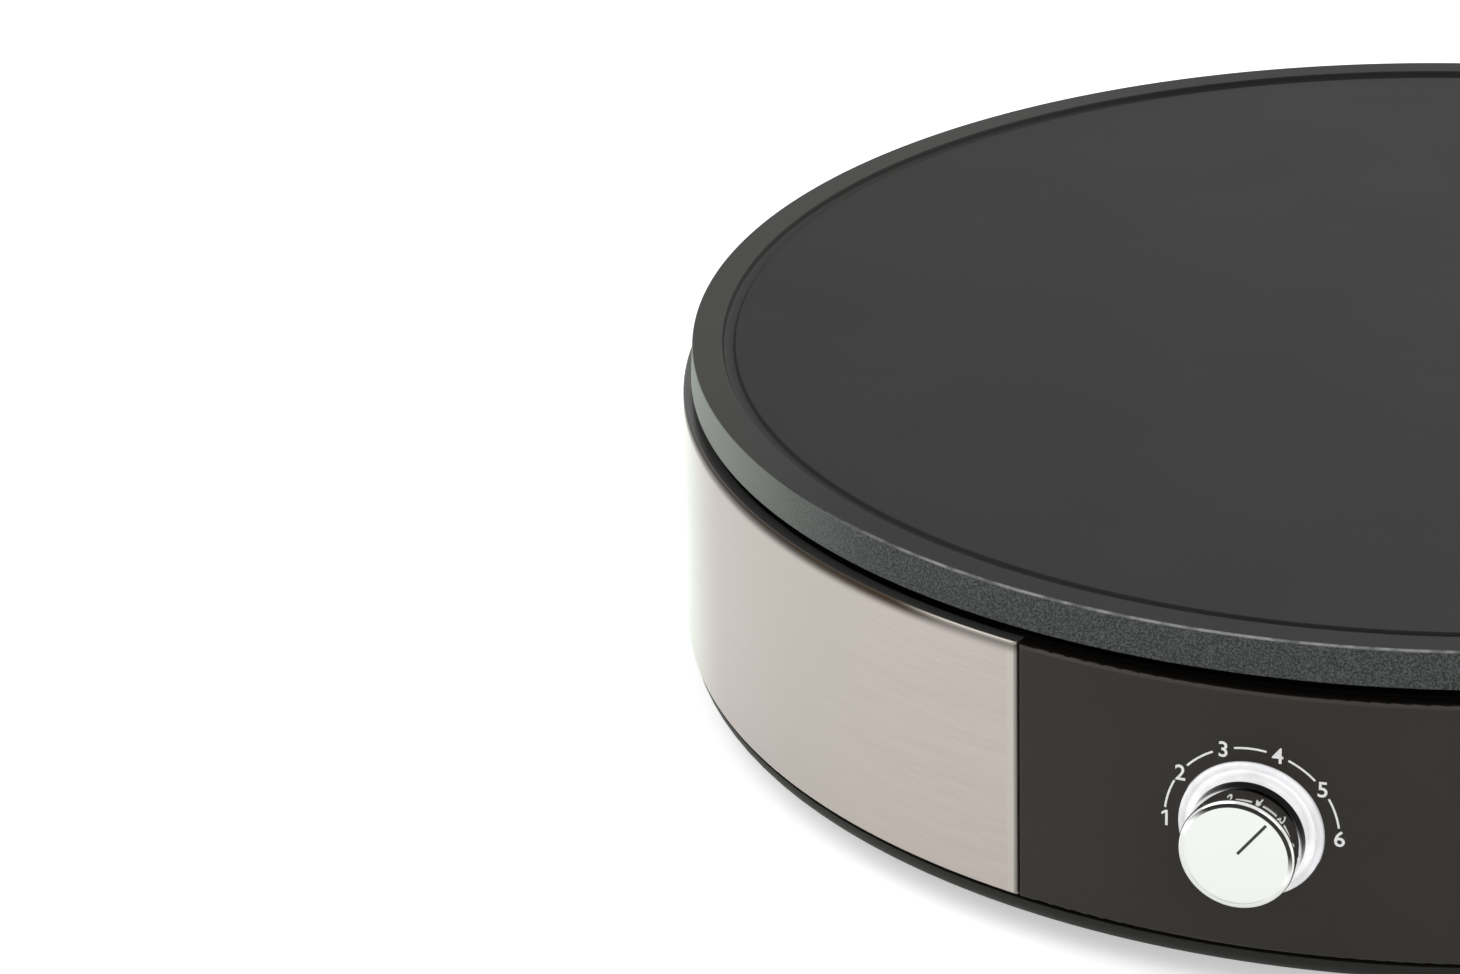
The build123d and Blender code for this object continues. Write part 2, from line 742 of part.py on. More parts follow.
def make_board_screws():
    screws = []
    for x, z in board_screw_places():
        length = board_thickness + board_screw_bite
        one = screw(small_shank, length, small_head, small_head_height)
        screws.append(Pos(x, -board_front + board_thickness, z) * Rot(90, 0, 0) * one)
    return screws


# ---------------------------------------------------------------- thermostat
def make_thermostat_case():
    """Folded metal case, open at the back, with the spindle's bush pressed into its face."""
    z0 = knob_height - case_height / 2
    z1 = knob_height + case_height / 2
    half = case_width / 2
    body = block(-half, half, -case_front, -case_front + case_depth, z0, z1)
    body = fillet(body.edges().filter_by(Axis.Y), case_wall)
    body -= block(
        -half + case_wall,
        half - case_wall,
        -case_front + case_wall,
        -case_front + case_depth + 1,
        z0 + case_wall,
        z1 - case_wall,
    )
    body += axle(bush_radius, case_front - 1, case_front + bush_length)
    return body - axle(spindle_radius + spindle_running, case_front - 10, case_front + 10)


def make_thermostat_base():
    half = case_width / 2 - case_wall - fit
    tall = case_height / 2 - case_wall - fit
    back = -case_front + case_depth
    body = block(
        -half, half, back - base_block_depth, back, knob_height - tall, knob_height + tall
    )
    for x, z in thermostat_tab_places():
        body -= block(
            x - tab_width / 2 - fit,
            x + tab_width / 2 + fit,
            back - tab_root - fit,
            back + 1,
            z - tab_thickness / 2 - fit,
            z + tab_thickness / 2 + fit,
        )
    inside = (back - base_block_depth - 1, back + 1)
    return body - axle(capillary_radius + fit, -inside[1], -inside[0], z=capillary_exit)


def thermostat_tab_places():
    return [(side * tab_spacing / 2, knob_height - tab_below) for side in (-1, 1)]


def make_thermostat_tabs():
    back = -case_front + case_depth
    tabs = []
    for x, z in thermostat_tab_places():
        half = tab_width / 2
        tab = block(
            x - half,
            x + half,
            back - tab_root,
            back + tab_length,
            z - tab_thickness / 2,
            z + tab_thickness / 2,
        )
        tip = tab.edges().filter_by(Axis.Z).sort_by(Axis.Y)[-2:]
        tabs.append(chamfer(tip, tab_width / 6))
    return tabs


def make_bracket():
    half = case_width / 2
    front = case_front + bracket_sheet
    body = block(
        -half,
        half,
        -front,
        -case_front,
        tray_boss_top,
        knob_height + case_height / 2,
    )
    body = fillet(body.edges().filter_by(Axis.Y).sort_by(Axis.Z)[-2:], case_wall * 3)
    body += block(
        -half,
        half,
        -case_front - bracket_sheet / 2,
        -case_front + bracket_foot,
        tray_boss_top,
        tray_boss_top + bracket_sheet,
    )
    body -= axle(bush_radius + fit, case_front - 1, front + 1)
    for x, y in bracket_spots():
        body -= post(small_shank + screw_gap, 0, tray_boss_top + far / 2, (x, y))
    return body


def bracket_spots():
    return [(side * case_width / 3, -case_front + bracket_foot / 2 + 1) for side in (-1, 1)]


def make_bracket_screws():
    one = screw(small_shank, bracket_sheet + tray_boss_height, small_head, small_head_height)
    top = tray_boss_top + bracket_sheet
    return [Pos(x, y, top) * Rot(180, 0, 0) * one for x, y in bracket_spots()]


def make_bush_nut():
    seat = case_front + bracket_sheet
    nut = extrude(RegularPolygon(nut_across / sqrt(3), 6), nut_thickness)
    nut = Pos(0, -seat, knob_height) * Rot(90, 0, 0) * nut
    return nut - axle(bush_radius + screw_gap / 2, seat - 1, seat + nut_thickness + 1)


def make_bulb():
    z = underside - fit - bulb_radius
    half = bulb_length / 2
    body = Pos(0, bulb_y, z) * Rot(0, 90, 0) * Cylinder(bulb_radius, bulb_length)
    ends = body.edges().filter_by(GeomType.CIRCLE)
    body = fillet(ends, bulb_radius * 0.4)
    through = Vector(capillary_pass[0], capillary_pass[1], (shield_top + shield_bottom) / 2)
    slant = Vector(*capillary_slant)
    back = -case_front + case_depth
    points = (
        (half, bulb_y, z),
        ((half + capillary_pass[0]) / 2, bulb_y, z),
        through + slant,
        through - slant,
        (34, back + 38, capillary_exit + 6),
        (8, back + 26, capillary_exit + 2),
        (0, back + 12, capillary_exit),
        (0, back - base_block_depth / 2, capillary_exit),
    )
    return body, lead(points, capillary_radius)


def stub(spot, way, length):
    """The first two points of a wire that leaves its terminal square to it."""
    return [spot, spot + way * length]


def lead(points, radius):
    """A wire's tube, each corner rounded as far as its two runs allow."""
    spots = [Vector(*p) for p in points]
    radii = []
    for before, here, after in zip(spots, spots[1:], spots[2:]):
        one = here - before
        two = after - here
        half_turn = radians(one.get_angle(two)) / 2
        radii.append(0.45 * min(one.length, two.length) / tan(half_turn))
    return tube(points, radii, radius)


def make_bulb_strap():
    half = bulb_screw_spacing / 2 + bulb_boss_radius
    bar = block(
        -bulb_strap_width / 2,
        bulb_strap_width / 2,
        bulb_y - half,
        bulb_y + half,
        bulb_strap_top - strap_thickness,
        bulb_strap_top,
    )
    bar = fillet(bar.edges().filter_by(Axis.Z), bulb_boss_radius / 2)
    screws = []
    for side in (-1, 1):
        spot = (0, bulb_y + side * bulb_screw_spacing / 2)
        bar -= post(small_shank + screw_gap, bulb_strap_top - 5, bulb_strap_top + 1, spot)
        length = strap_thickness + underside - bulb_strap_top + small_bite - 1
        one = screw(small_shank, length, small_head, small_head_height)
        screws.append(Pos(spot[0], spot[1], bulb_strap_top - strap_thickness) * one)
    return bar, screws


# ---------------------------------------------------------------- tray, feet and cord entry
def make_tray():
    outside = skin_bottom_radius - trim_inset
    flat = outside - tray_corner
    slope = tray_corner * cos(radians(45))
    thick = tray_floor
    outline = Polyline((0, foot_drop), (flat, foot_drop))
    outline += ThreePointArc(
        (flat, foot_drop), (flat + slope, tray_rim - slope), (outside, tray_rim)
    )
    outline += Polyline((outside, tray_rim), (outside - thick, tray_rim))
    inner = tray_corner - thick
    inner_slope = inner * cos(radians(45))
    outline += ThreePointArc(
        (outside - thick, tray_rim), (flat + inner_slope, tray_rim - inner_slope), (flat, floor_top)
    )
    outline += Polyline((flat, floor_top), (0, floor_top), (0, foot_drop))
    body = revolve(make_face(Plane.XZ * outline), Axis.Z)
    spigot_out = skin_radius(housing_bottom) - behind_wall - spigot_gap
    spigot_in = spigot_out - spigot_wall
    root = floor_top - tray_floor / 2

    def mid_shell(r):
        return tray_rim - sqrt((tray_corner - thick / 2) ** 2 - (r - flat) ** 2)

    ring = profile(
        (spigot_in, mid_shell(spigot_in)),
        (spigot_out, mid_shell(spigot_out)),
        (spigot_out, tray_rim + spigot_height),
        (spigot_in, tray_rim + spigot_height),
    )
    clear = degrees(spigot_gap * 4 / skin_top_radius)
    first = front_half_angle + frame_overlap + clear
    last = 180 - rear_half_angle - frame_overlap - clear
    body += ring_sector(ring, first, last)
    body += ring_sector(ring, 360 - last, 360 - first)
    for boss in on_circle(column_azimuths, column_circle, post(column_radius + 1, root, tray_boss_top)):
        body += boss
    for boss in on_circle(foot_azimuths, foot_circle, post(foot_radius + 2, root, floor_top + 1)):
        body += boss
    for x, y in bracket_spots():
        body += post(tray_boss_radius, root, tray_boss_top, (x, y))
    for x, y in block_screw_spots():
        body += post(tray_boss_radius, root, tray_boss_top, (x, y))
    through = post(tray_screw + bolt_clearance, 0, tray_boss_top + 1)
    sunk = post(tray_head + 0.6, 0, foot_drop + tray_head_height + 0.4)
    for hole in on_circle(column_azimuths, column_circle, through + sunk):
        body -= hole
    seat = post(foot_radius + fit, 0, foot_drop + foot_recess)
    stem = post(foot_stem + fit, 0, floor_top + 2)
    for hole in on_circle(foot_azimuths, foot_circle, seat + stem):
        body -= hole
    for x, y in (*bracket_spots(), *block_screw_spots()):
        body -= post(small_shank + screw_gap, foot_drop + 1, tray_boss_top + 1, (x, y))
    for k in range(vent_count):
        for row in range(vent_rows):
            start = vent_start + row * (vent_length + vent_bridge)
            end = start + vent_length
            slot = block(-vent_width / 2, vent_width / 2, -end, -start, 0, far)
            slot = fillet(slot.edges().filter_by(Axis.Z), vent_width / 2 - fit)
            body -= turned(360 * (k + 0.5) / vent_count, slot)
    return body


def make_feet():
    shoulder = floor_top + 1
    foot = post(foot_radius, 0, foot_drop + foot_recess)
    foot = fillet(foot.edges().sort_by(Axis.Z)[0], foot_radius / 10)
    foot += post(foot_stem, foot_drop, shoulder + fit)
    barb = profile(
        (0, shoulder + fit),
        (foot_stem + 1.2, shoulder + fit),
        (foot_stem - 1, shoulder + 5),
        (0, shoulder + 5),
    )
    return on_circle(foot_azimuths, foot_circle, foot + revolve(barb, Axis.Z))


def make_tray_screws():
    seat = foot_drop + tray_head_height + 0.4
    one = screw(tray_screw, tray_boss_top - seat + tray_bite, tray_head, tray_head_height)
    return on_circle(column_azimuths, column_circle, Pos(0, 0, seat) * one)


def make_gland():
    """Cord gland through the rear panel: a collar and a tapered nose outside, a thread within."""
    skin = skin_radius(gland_height)
    nose = skin + gland_nose
    collar = skin + gland_collar
    face = make_face(
        Polyline(
            (gland_bore, skin - gland_thread),
            (gland_neck, skin - gland_thread),
            (gland_neck, skin - gland_seat + fit),
            (gland_flange, skin - gland_seat + fit),
            (gland_flange, collar),
            (gland_neck, collar),
            (gland_neck - gland_taper, nose),
            (gland_bore, nose),
            close=True,
        )
    )
    body = revolve(face, Axis.Y)
    body = fillet(body.edges().filter_by(GeomType.CIRCLE).sort_by(Axis.Y)[-2:], gland_round)
    for k in range(gland_slots):
        y = collar + (nose - collar) * (k + 0.7) / (gland_slots + 0.4)
        groove = Box(gland_neck * 3, gland_slot, gland_neck * 3)
        groove -= Rot(90, 0, 0) * Cylinder(gland_neck - gland_slot_depth, far)
        body -= Pos(0, y, 0) * groove
    nut = extrude(RegularPolygon(gland_nut_radius, 6), gland_nut)
    nut = Pos(0, skin - trim_depth - fit, 0) * Rot(90, 0, 0) * nut
    bore = Rot(90, 0, 0) * Cylinder(gland_neck + screw_gap / 2, gland_thread + far)
    nut -= Pos(0, skin, 0) * bore
    lift = Pos(0, 0, gland_height)
    return lift * body, lift * nut


def block_screw_spots():
    out = terminal_pitch + terminal_half + small_head + 2 * screw_gap
    return [(side * out, terminal_y) for side in (-1, 1)]


def make_terminal_block():
    """Three-way screw terminal block on two bosses of the tray."""
    half = block_screw_spots()[1][0] + small_head
    z0 = tray_boss_top
    body = block(
        -half,
        half,
        terminal_y - terminal_depth / 2,
        terminal_y + terminal_depth / 2,
        z0,
        z0 + terminal_foot,
    )
    screws = []
    fixings = []
    for k in (-1, 0, 1):
        x = k * terminal_pitch
        body += block(
            x - terminal_half,
            x + terminal_half,
            terminal_y - terminal_depth / 2,
            terminal_y + terminal_depth / 2,
            z0,
            z0 + terminal_height,
        )
    for k in (-1, 0, 1):
        x = k * terminal_pitch
        wire_way = Rot(90, 0, 0) * Cylinder(wire_radius + wire_way_gap, terminal_depth + 2)
        body -= Pos(x, terminal_y, terminal_wire) * wire_way
        seat = terminal_top - terminal_well
        body -= post(small_head + 2 * screw_gap, seat, terminal_top + 1, (x, terminal_y))
        body -= post(small_shank + screw_gap, terminal_wire, terminal_top, (x, terminal_y))
        one = screw(small_shank, small_bite, small_head, small_head_height)
        screws.append(Pos(x, terminal_y, seat) * Rot(180, 0, 0) * one)
    for x, y in block_screw_spots():
        body -= post(small_shank + screw_gap, 0, z0 + terminal_foot + 1, (x, y))
        one = screw(small_shank, terminal_foot + tray_boss_height, small_head, small_head_height)
        fixings.append(Pos(x, y, z0 + terminal_foot) * Rot(180, 0, 0) * one)
    return body, screws, fixings


# ---------------------------------------------------------------- fuse, earth and leads
def make_fuse():
    """Thermal fuse under the shield, its clip, and the clip's two screws with nuts above."""
    x = fuse_x
    z = shield_bottom - fit - fuse_radius
    body = Pos(x, fuse_y, z) * Rot(90, 0, 0) * Cylinder(fuse_radius, fuse_length)
    for end in (-1, 1):
        y = fuse_y + end * (fuse_length / 2 + fuse_pigtail / 2)
        body += Pos(x, y, z) * Rot(90, 0, 0) * Cylinder(fuse_radius * 0.6, fuse_pigtail)
    half = fuse_clip_width / 2
    thick = strap_thickness / 2
    inner = fuse_radius + fit
    low = z - inner
    arch = block(x - inner - thick, x + inner + thick, -half, half, low - thick, shield_bottom)
    arch -= block(x - inner, x + inner, -half - 1, half + 1, low, shield_bottom + 1)
    for side in (-1, 1):
        wing = x + side * (inner + fuse_wing_half)
        arch += block(
            wing - fuse_wing_half,
            wing + fuse_wing_half,
            -half,
            half,
            shield_bottom - thick,
            shield_bottom,
        )
    arch -= block(x - inner, x + inner, -half - 1, half + 1, low, shield_bottom + 1)
    arch = Pos(0, fuse_y, 0) * arch
    screws = []
    for spot in fuse_screw_spots:
        arch -= post(small_shank + screw_gap, shield_bottom - 9, shield_bottom + 1, spot)
        length = thick + shield_sheet + small_nut + screw_tip
        one = screw(small_shank, length, small_head, small_head_height)
        screws.append(Pos(spot[0], spot[1], shield_bottom - thick) * one)
    return body, arch, screws


def make_nut(spot):
    nut = Pos(spot[0], spot[1], shield_top) * extrude(RegularPolygon(small_nut_radius, 6), small_nut)
    return nut - post(small_shank + screw_gap / 2, shield_top - 1, shield_top + 9, spot)


def make_earth():
    """Ring tag under the shield, clamped by a screw with a nut above."""
    x, y = earth_spot
    z = shield_bottom - tag_thickness
    axis_z = z - tag_thickness
    tag = post(tag_radius, z, shield_bottom, (x, y))
    tag += block(x - tag_neck_half, x + tag_neck_half, y, y + tag_neck, z, shield_bottom)
    middle = y + tag_neck - tag_neck_half / 2 + barrel_length / 2
    barrel = Cylinder(wire_radius + barrel_wall, barrel_length)
    barrel = Pos(x, middle, axis_z) * Rot(90, 0, 0) * barrel
    tag += barrel - block(x - far, x + far, y, y + far, shield_bottom, shield_bottom + far)
    tag -= post(small_shank + screw_gap, z - 4, shield_bottom + 1, (x, y))
    length = tag_thickness + shield_sheet + small_nut + screw_tip
    one = screw(small_shank, length, small_head, small_head_height)
    return tag, Pos(x, y, z) * one, Vector(x, middle + barrel_length / 2, axis_z)


def make_receptacle(spot, along):
    """Push-on receptacle around a tab; the tab lies along z or along y."""
    sleeve = Box(tab_width + 2 * sleeve_wall, sleeve_height, tab_length + sleeve_overrun)
    sleeve -= Box(tab_width + 2 * fit, tab_thickness + 2 * fit, tab_length + far)
    if along == "y":
        sleeve = Rot(90, 0, 0) * sleeve
    return Pos(*spot) * sleeve


def make_wiring():
    """Receptacles and leads, from the terminal block to the thermostat, fuse and element."""
    back = -case_front + case_depth
    pieces = {"receptacles": []}
    ends = []
    for x, z in thermostat_tab_places():
        half = (tab_length + sleeve_overrun) / 2
        centre = back + half + sleeve_overrun / 2
        sleeve = make_receptacle((x, centre, z), "y")
        crimp = sleeve_height / 2
        y = centre + half
        sleeve += block(x - crimp, x + crimp, y, y + crimp_length, z - crimp, z + crimp)
        pieces["receptacles"].append(sleeve)
        ends.append(Vector(x, y + crimp_length, z))
    flags = []
    for tip, way in ((cold_tip_a, Vector(1, 0, 0)), (cold_tip_b, Vector(0, 1, 0))):
        z = tip.Z - seal_length - pin_drop - tab_length / 2 - sleeve_overrun
        sleeve = make_receptacle((tip.X, tip.Y, z), "z")
        reach = tab_width / 2 + sleeve_wall if way.X else sleeve_height / 2
        mouth = Vector(tip.X, tip.Y, z) + way * reach
        pieces["receptacles"].append(sleeve)
        flags.append(mouth)
    entry = terminal_y - terminal_depth / 2
    rear, fore, right = Vector(0, 1, 0), Vector(0, -1, 0), Vector(1, 0, 0)
    fuse_z = shield_bottom - fit - fuse_radius
    fuse_end = fuse_length / 2 + fuse_pigtail
    tag_end = make_earth()[2]
    ways = [Vector(x * terminal_pitch, entry + 4, terminal_wire) for x in (-1, 0, 1)]
    live = (
        *stub(ways[0], fore, block_leave[0]),
        (-28, 76, 13),
        (-37, 26, 12),
        (-38, -28, 12),
        (-30, -70, 18),
        *stub(ends[0], rear, tab_leave)[::-1],
    )
    switched = (
        *stub(ends[1], rear, tab_leave),
        (30, -74, 26),
        (52, -40, 28),
        (fuse_x - 2, -6, 38),
        *stub(Vector(fuse_x, fuse_y - fuse_end, fuse_z), fore, fuse_leave + 4)[::-1],
    )
    limited = (
        *stub(Vector(fuse_x, fuse_y + fuse_end, fuse_z), rear, fuse_leave),
        (fuse_x - 6, 102, 46),
        *stub(flags[0], right, pin_leave + 2)[::-1],
    )
    neutral = (
        *stub(ways[2], fore, block_leave[2]),
        (16, 104, 24),
        *stub(flags[1], rear, pin_leave)[::-1],
    )
    earth = (
        *stub(ways[1], fore, block_leave[1]),
        (-8, 86, 28),
        (-28, 70, 46),
        *stub(tag_end, rear, tag_leave)[::-1],
    )
    pieces["lead_live"] = [lead(live, wire_radius)]
    pieces["lead_switched"] = [lead(switched, wire_radius)]
    pieces["lead_fused"] = [lead(limited, wire_radius)]
    pieces["lead_neutral"] = [lead(neutral, wire_radius)]
    pieces["lead_earth"] = [lead(earth, wire_radius)]
    return pieces


# ---------------------------------------------------------------- the whole part
fuse, fuse_clip, fuse_screws = make_fuse()
earth_tag, earth_screw, _ = make_earth()
seals, pins = make_element_pins()
straps, strap_screws = make_element_straps()
washers, standoffs, plate_bolts = make_plate_stack()
bulb, capillary = make_bulb()
bulb_strap, bulb_strap_screws = make_bulb_strap()
gland, gland_ring_nut = make_gland()
terminal_block, terminal_screws, terminal_fixings = make_terminal_block()

model = {
    "hotplate": [make_hotplate()],
    "element_tube": [along_element(element_radius)],
    "element_seals": seals,
    "element_pins": pins,
    "element_straps": straps,
    "element_strap_screws": strap_screws,
    "heat_shield": [make_heat_shield()],
    "plate_washers": washers,
    "plate_standoffs": standoffs,
    "plate_bolts": plate_bolts,
    "housing": [make_housing()],
    "side_panel_right": [make_side_panel(front_half_angle, 180 - rear_half_angle)],
    "side_panel_left": [make_side_panel(180 + rear_half_angle, 360 - front_half_angle)],
    "control_panel": [make_control_panel()],
    "cord_panel": [make_cord_panel()],
    "control_panel_screws": make_panel_screws(True),
    "cord_panel_screws": make_panel_screws(False),
    "light_ring": [make_light_ring()],
    "knob": [make_knob()],
    "knob_pointer": [pointer_bar(pointer_width, knob_face_out - pointer_depth, knob_face_out)],
    "knob_clip": [make_knob_clip()],
    "lamp_board": [make_lamp_board()],
    "lamps": make_lamps(),
    "lamp_board_screws": make_board_screws(),
    "thermostat_case": [make_thermostat_case()],
    "thermostat_base": [make_thermostat_base()],
    "thermostat_tabs": make_thermostat_tabs(),
    "thermostat_spindle": [make_spindle()],
    "thermostat_bracket": [make_bracket()],
    "thermostat_nut": [make_bush_nut()],
    "bracket_screws": make_bracket_screws(),
    "sensor_bulb": [bulb],
    "capillary_tube": [capillary],
    "bulb_strap": [bulb_strap],
    "bulb_strap_screws": bulb_strap_screws,
    "base_tray": [make_tray()],
    "rubber_feet": make_feet(),
    "tray_screws": make_tray_screws(),
    "cord_gland": [gland],
    "gland_nut": [gland_ring_nut],
    "terminal_block": [terminal_block],
    "terminal_screws": terminal_screws,
    "terminal_block_screws": terminal_fixings,
    "thermal_fuse": [fuse],
    "fuse_clip": [fuse_clip],
    "fuse_clip_screws": fuse_screws,
    "earth_tag": [earth_tag],
    "earth_screw": [earth_screw],
    "shield_nuts": [make_nut(spot) for spot in (earth_spot, *fuse_screw_spots)],
}
model.update(make_wiring())

for name, pieces in model.items():
    save(name, *pieces)
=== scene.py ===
import json
import math
import bpy
import bmesh
from mathutils import Matrix, Vector


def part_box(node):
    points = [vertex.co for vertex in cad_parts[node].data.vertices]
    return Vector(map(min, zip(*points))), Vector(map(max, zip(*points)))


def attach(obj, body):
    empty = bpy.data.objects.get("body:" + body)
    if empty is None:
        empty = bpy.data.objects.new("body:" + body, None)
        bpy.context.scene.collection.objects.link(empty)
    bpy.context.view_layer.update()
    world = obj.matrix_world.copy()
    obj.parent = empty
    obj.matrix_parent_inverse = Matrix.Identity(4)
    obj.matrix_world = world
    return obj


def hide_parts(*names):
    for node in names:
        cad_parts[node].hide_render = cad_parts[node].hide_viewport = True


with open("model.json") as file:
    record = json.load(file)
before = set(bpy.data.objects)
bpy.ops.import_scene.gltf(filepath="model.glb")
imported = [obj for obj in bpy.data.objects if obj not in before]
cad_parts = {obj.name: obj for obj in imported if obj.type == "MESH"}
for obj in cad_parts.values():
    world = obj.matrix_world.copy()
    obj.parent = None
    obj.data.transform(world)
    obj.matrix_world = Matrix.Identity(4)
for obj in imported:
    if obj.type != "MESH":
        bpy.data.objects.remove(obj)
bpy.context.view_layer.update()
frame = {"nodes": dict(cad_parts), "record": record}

mm = 0.001  # the pieces' sizes are in millimetres, the camera's and the studio's in metres
weld = 1e-6  # vertices nearer than this become one
hardEdge = math.radians(32)  # an edge bent by more than this stays sharp
cadNodes = frame["nodes"]
plateLow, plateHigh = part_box("hotplate")
knobLow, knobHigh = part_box("knob")
knobAxis = (knobLow.z + knobHigh.z) / 2  # height of the knob above the counter
print("frame loaded,", len(cadNodes), "nodes")

camera = {
    "azimuth": 12.35,
    "elevation": 22.33,
    "distance": 1.11025,
    "pan": -8.07,  # degrees off the plate's centre, sideways
    "tilt": -2.10,
    "roll": -2.24,
    "lens": 124.86,
    "sensor": 36.0,
    "nearest": 0.05,
}


def makeCamera():
    az, el = math.radians(camera["azimuth"]), math.radians(camera["elevation"])
    back = Vector((math.sin(az) * math.cos(el), -math.cos(az) * math.cos(el), math.sin(el)))
    eye = Vector((0, 0, plateHigh.z)) + back * camera["distance"]
    up = Vector((0, 0, 1))
    ahead = -back
    right = ahead.cross(up).normalized()
    pan, tilt = math.tan(math.radians(camera["pan"])), math.tan(math.radians(camera["tilt"]))
    ahead = (ahead + right * pan + right.cross(ahead) * tilt).normalized()
    right = ahead.cross(up).normalized()
    above = right.cross(ahead)
    roll = math.radians(camera["roll"])
    side = right * math.cos(roll) + above * math.sin(roll)
    top = above * math.cos(roll) - right * math.sin(roll)
    data = bpy.data.cameras.new("viewCamera")
    data.sensor_width = camera["sensor"]
    data.lens = camera["lens"]
    data.clip_start = camera["nearest"]
    obj = bpy.data.objects.new("viewCamera", data)
    bpy.context.scene.collection.objects.link(obj)
    turn = Matrix((side, top, -ahead)).transposed().to_4x4()
    obj.matrix_world = Matrix.Translation(eye) @ turn
    bpy.context.scene.camera = obj


makeCamera()
print("camera placed")

studio = {
    "sky": 0.62,
    "skyColour": (0.95, 0.97, 1.0),
    "floorColour": (0.86, 0.86, 0.85),
    "floorRoughness": 0.75,
    "floorHalf": 6,
    "floorLift": 0.48,  # only where the floor is seen, so that it is white outside the shadow
    "lamps": (  # place, size, watts, colour
        ((-1.5, -0.6, 1.9), 2.2, 24.0, (1.0, 0.99, 0.96)),
        ((1.5, -1.6, 1.5), 1.8, 10.0, (0.97, 0.98, 1.0)),
        ((0.2, 1.8, 1.6), 2.0, 12.0, (1.0, 1.0, 1.0)),
    ),
}


def whenSeenDirectly(tree):
    # one where a camera, glossy or transmitted ray arrives, and zero for light
    path = tree.nodes.new("ShaderNodeLightPath")
    total = path.outputs["Is Camera Ray"]
    for name in ("Is Glossy Ray", "Is Transmission Ray"):
        add = tree.nodes.new("ShaderNodeMath")
        add.operation = "MAXIMUM"
        tree.links.new(total, add.inputs[0])
        tree.links.new(path.outputs[name], add.inputs[1])
        total = add.outputs[0]
    return total


def makeStudio():
    scene = bpy.context.scene
    scene.view_settings.view_transform = "Standard"
    world = bpy.data.worlds.new("studioWorld")
    scene.world = world
    world.use_nodes = True
    tree = world.node_tree
    shade = tree.nodes["Background"]
    shade.inputs["Color"].default_value = (*studio["skyColour"], 1)
    shade.inputs["Strength"].default_value = studio["sky"]
    white = tree.nodes.new("ShaderNodeBackground")
    white.inputs["Color"].default_value = (1, 1, 1, 1)
    white.inputs["Strength"].default_value = 1.0
    mix = tree.nodes.new("ShaderNodeMixShader")
    tree.links.new(whenSeenDirectly(tree), mix.inputs[0])
    tree.links.new(shade.outputs[0], mix.inputs[1])
    tree.links.new(white.outputs[0], mix.inputs[2])
    tree.links.new(mix.outputs[0], tree.nodes["World Output"].inputs["Surface"])
    for k, (spot, size, watts, colour) in enumerate(studio["lamps"]):
        data = bpy.data.lights.new(f"softLamp{k}", "AREA")
        data.shape = "DISK"
        data.size = size
        data.energy = watts
        data.color = colour
        lamp = bpy.data.objects.new(f"softLamp{k}", data)
        scene.collection.objects.link(lamp)
        lamp.location = spot
        lamp.rotation_euler = (-Vector(spot)).to_track_quat("-Z", "Y").to_euler()
    mesh = bpy.data.meshes.new("floor")
    half = studio["floorHalf"]
    corners = [(-half, -half, 0), (half, -half, 0), (half, half, 0), (-half, half, 0)]
    mesh.from_pydata(corners, [], [(0, 1, 2, 3)])
    floor = bpy.data.objects.new("floor", mesh)
    scene.collection.objects.link(floor)
    mat = bpy.data.materials.new("paleFloor")
    mat.use_nodes = True
    shader = mat.node_tree.nodes["Principled BSDF"]
    shader.inputs["Base Color"].default_value = (*studio["floorColour"], 1)
    shader.inputs["Roughness"].default_value = studio["floorRoughness"]
    shader.inputs["Emission Color"].default_value = (1, 1, 1, 1)
    lift = calc(mat.node_tree, "MULTIPLY", whenSeenDirectly(mat.node_tree), studio["floorLift"])
    mat.node_tree.links.new(lift, shader.inputs["Emission Strength"])
    mesh.materials.append(mat)


def newFinish(name, colour, roughness, metallic=0.0, gloss=0.5):
    mat = bpy.data.materials.new(name)
    mat.use_nodes = True
    tree = mat.node_tree
    shader = tree.nodes["Principled BSDF"]
    shader.inputs["Base Color"].default_value = (*colour, 1)
    shader.inputs["Roughness"].default_value = roughness
    shader.inputs["Metallic"].default_value = metallic
    shader.inputs["Specular IOR Level"].default_value = gloss
    return mat, tree, shader


def piecePoint(tree, stretch=(1, 1, 1)):
    coord = tree.nodes.new("ShaderNodeTexCoord")
    mapping = tree.nodes.new("ShaderNodeMapping")
    mapping.inputs["Scale"].default_value = stretch
    tree.links.new(coord.outputs["Object"], mapping.inputs["Vector"])
    return mapping.outputs[0]


def grain(tree, point, scale, detail=2.0, roughness=0.5):
    node = tree.nodes.new("ShaderNodeTexNoise")
    node.inputs["Scale"].default_value = scale
    node.inputs["Detail"].default_value = detail
    node.inputs["Roughness"].default_value = roughness
    tree.links.new(point, node.inputs["Vector"])
    return node.outputs["Fac"]


def calc(tree, operation, a, b=None):
    node = tree.nodes.new("ShaderNodeMath")
    node.operation = operation
    for socket, value in zip(node.inputs, (a, b)):
        if isinstance(value, (int, float)):
            socket.default_value = value
        elif value is not None:
            tree.links.new(value, socket)
    return node.outputs[0]


def spread(tree, value, low, high, toLow=0.0, toHigh=1.0):
    node = tree.nodes.new("ShaderNodeMapRange")
    node.interpolation_type = "SMOOTHSTEP"
    node.inputs["From Min"].default_value = low
    node.inputs["From Max"].default_value = high
    node.inputs["To Min"].default_value = toLow
    node.inputs["To Max"].default_value = toHigh
    tree.links.new(value, node.inputs["Value"])
    return node.outputs["Result"]


def fade(tree, value, ends):
    # rises from 0 to 1 between two places given in millimetres
    return spread(tree, value, ends[0] * mm, ends[1] * mm)


def times(tree, a, b):
    return calc(tree, "MULTIPLY", a, b)


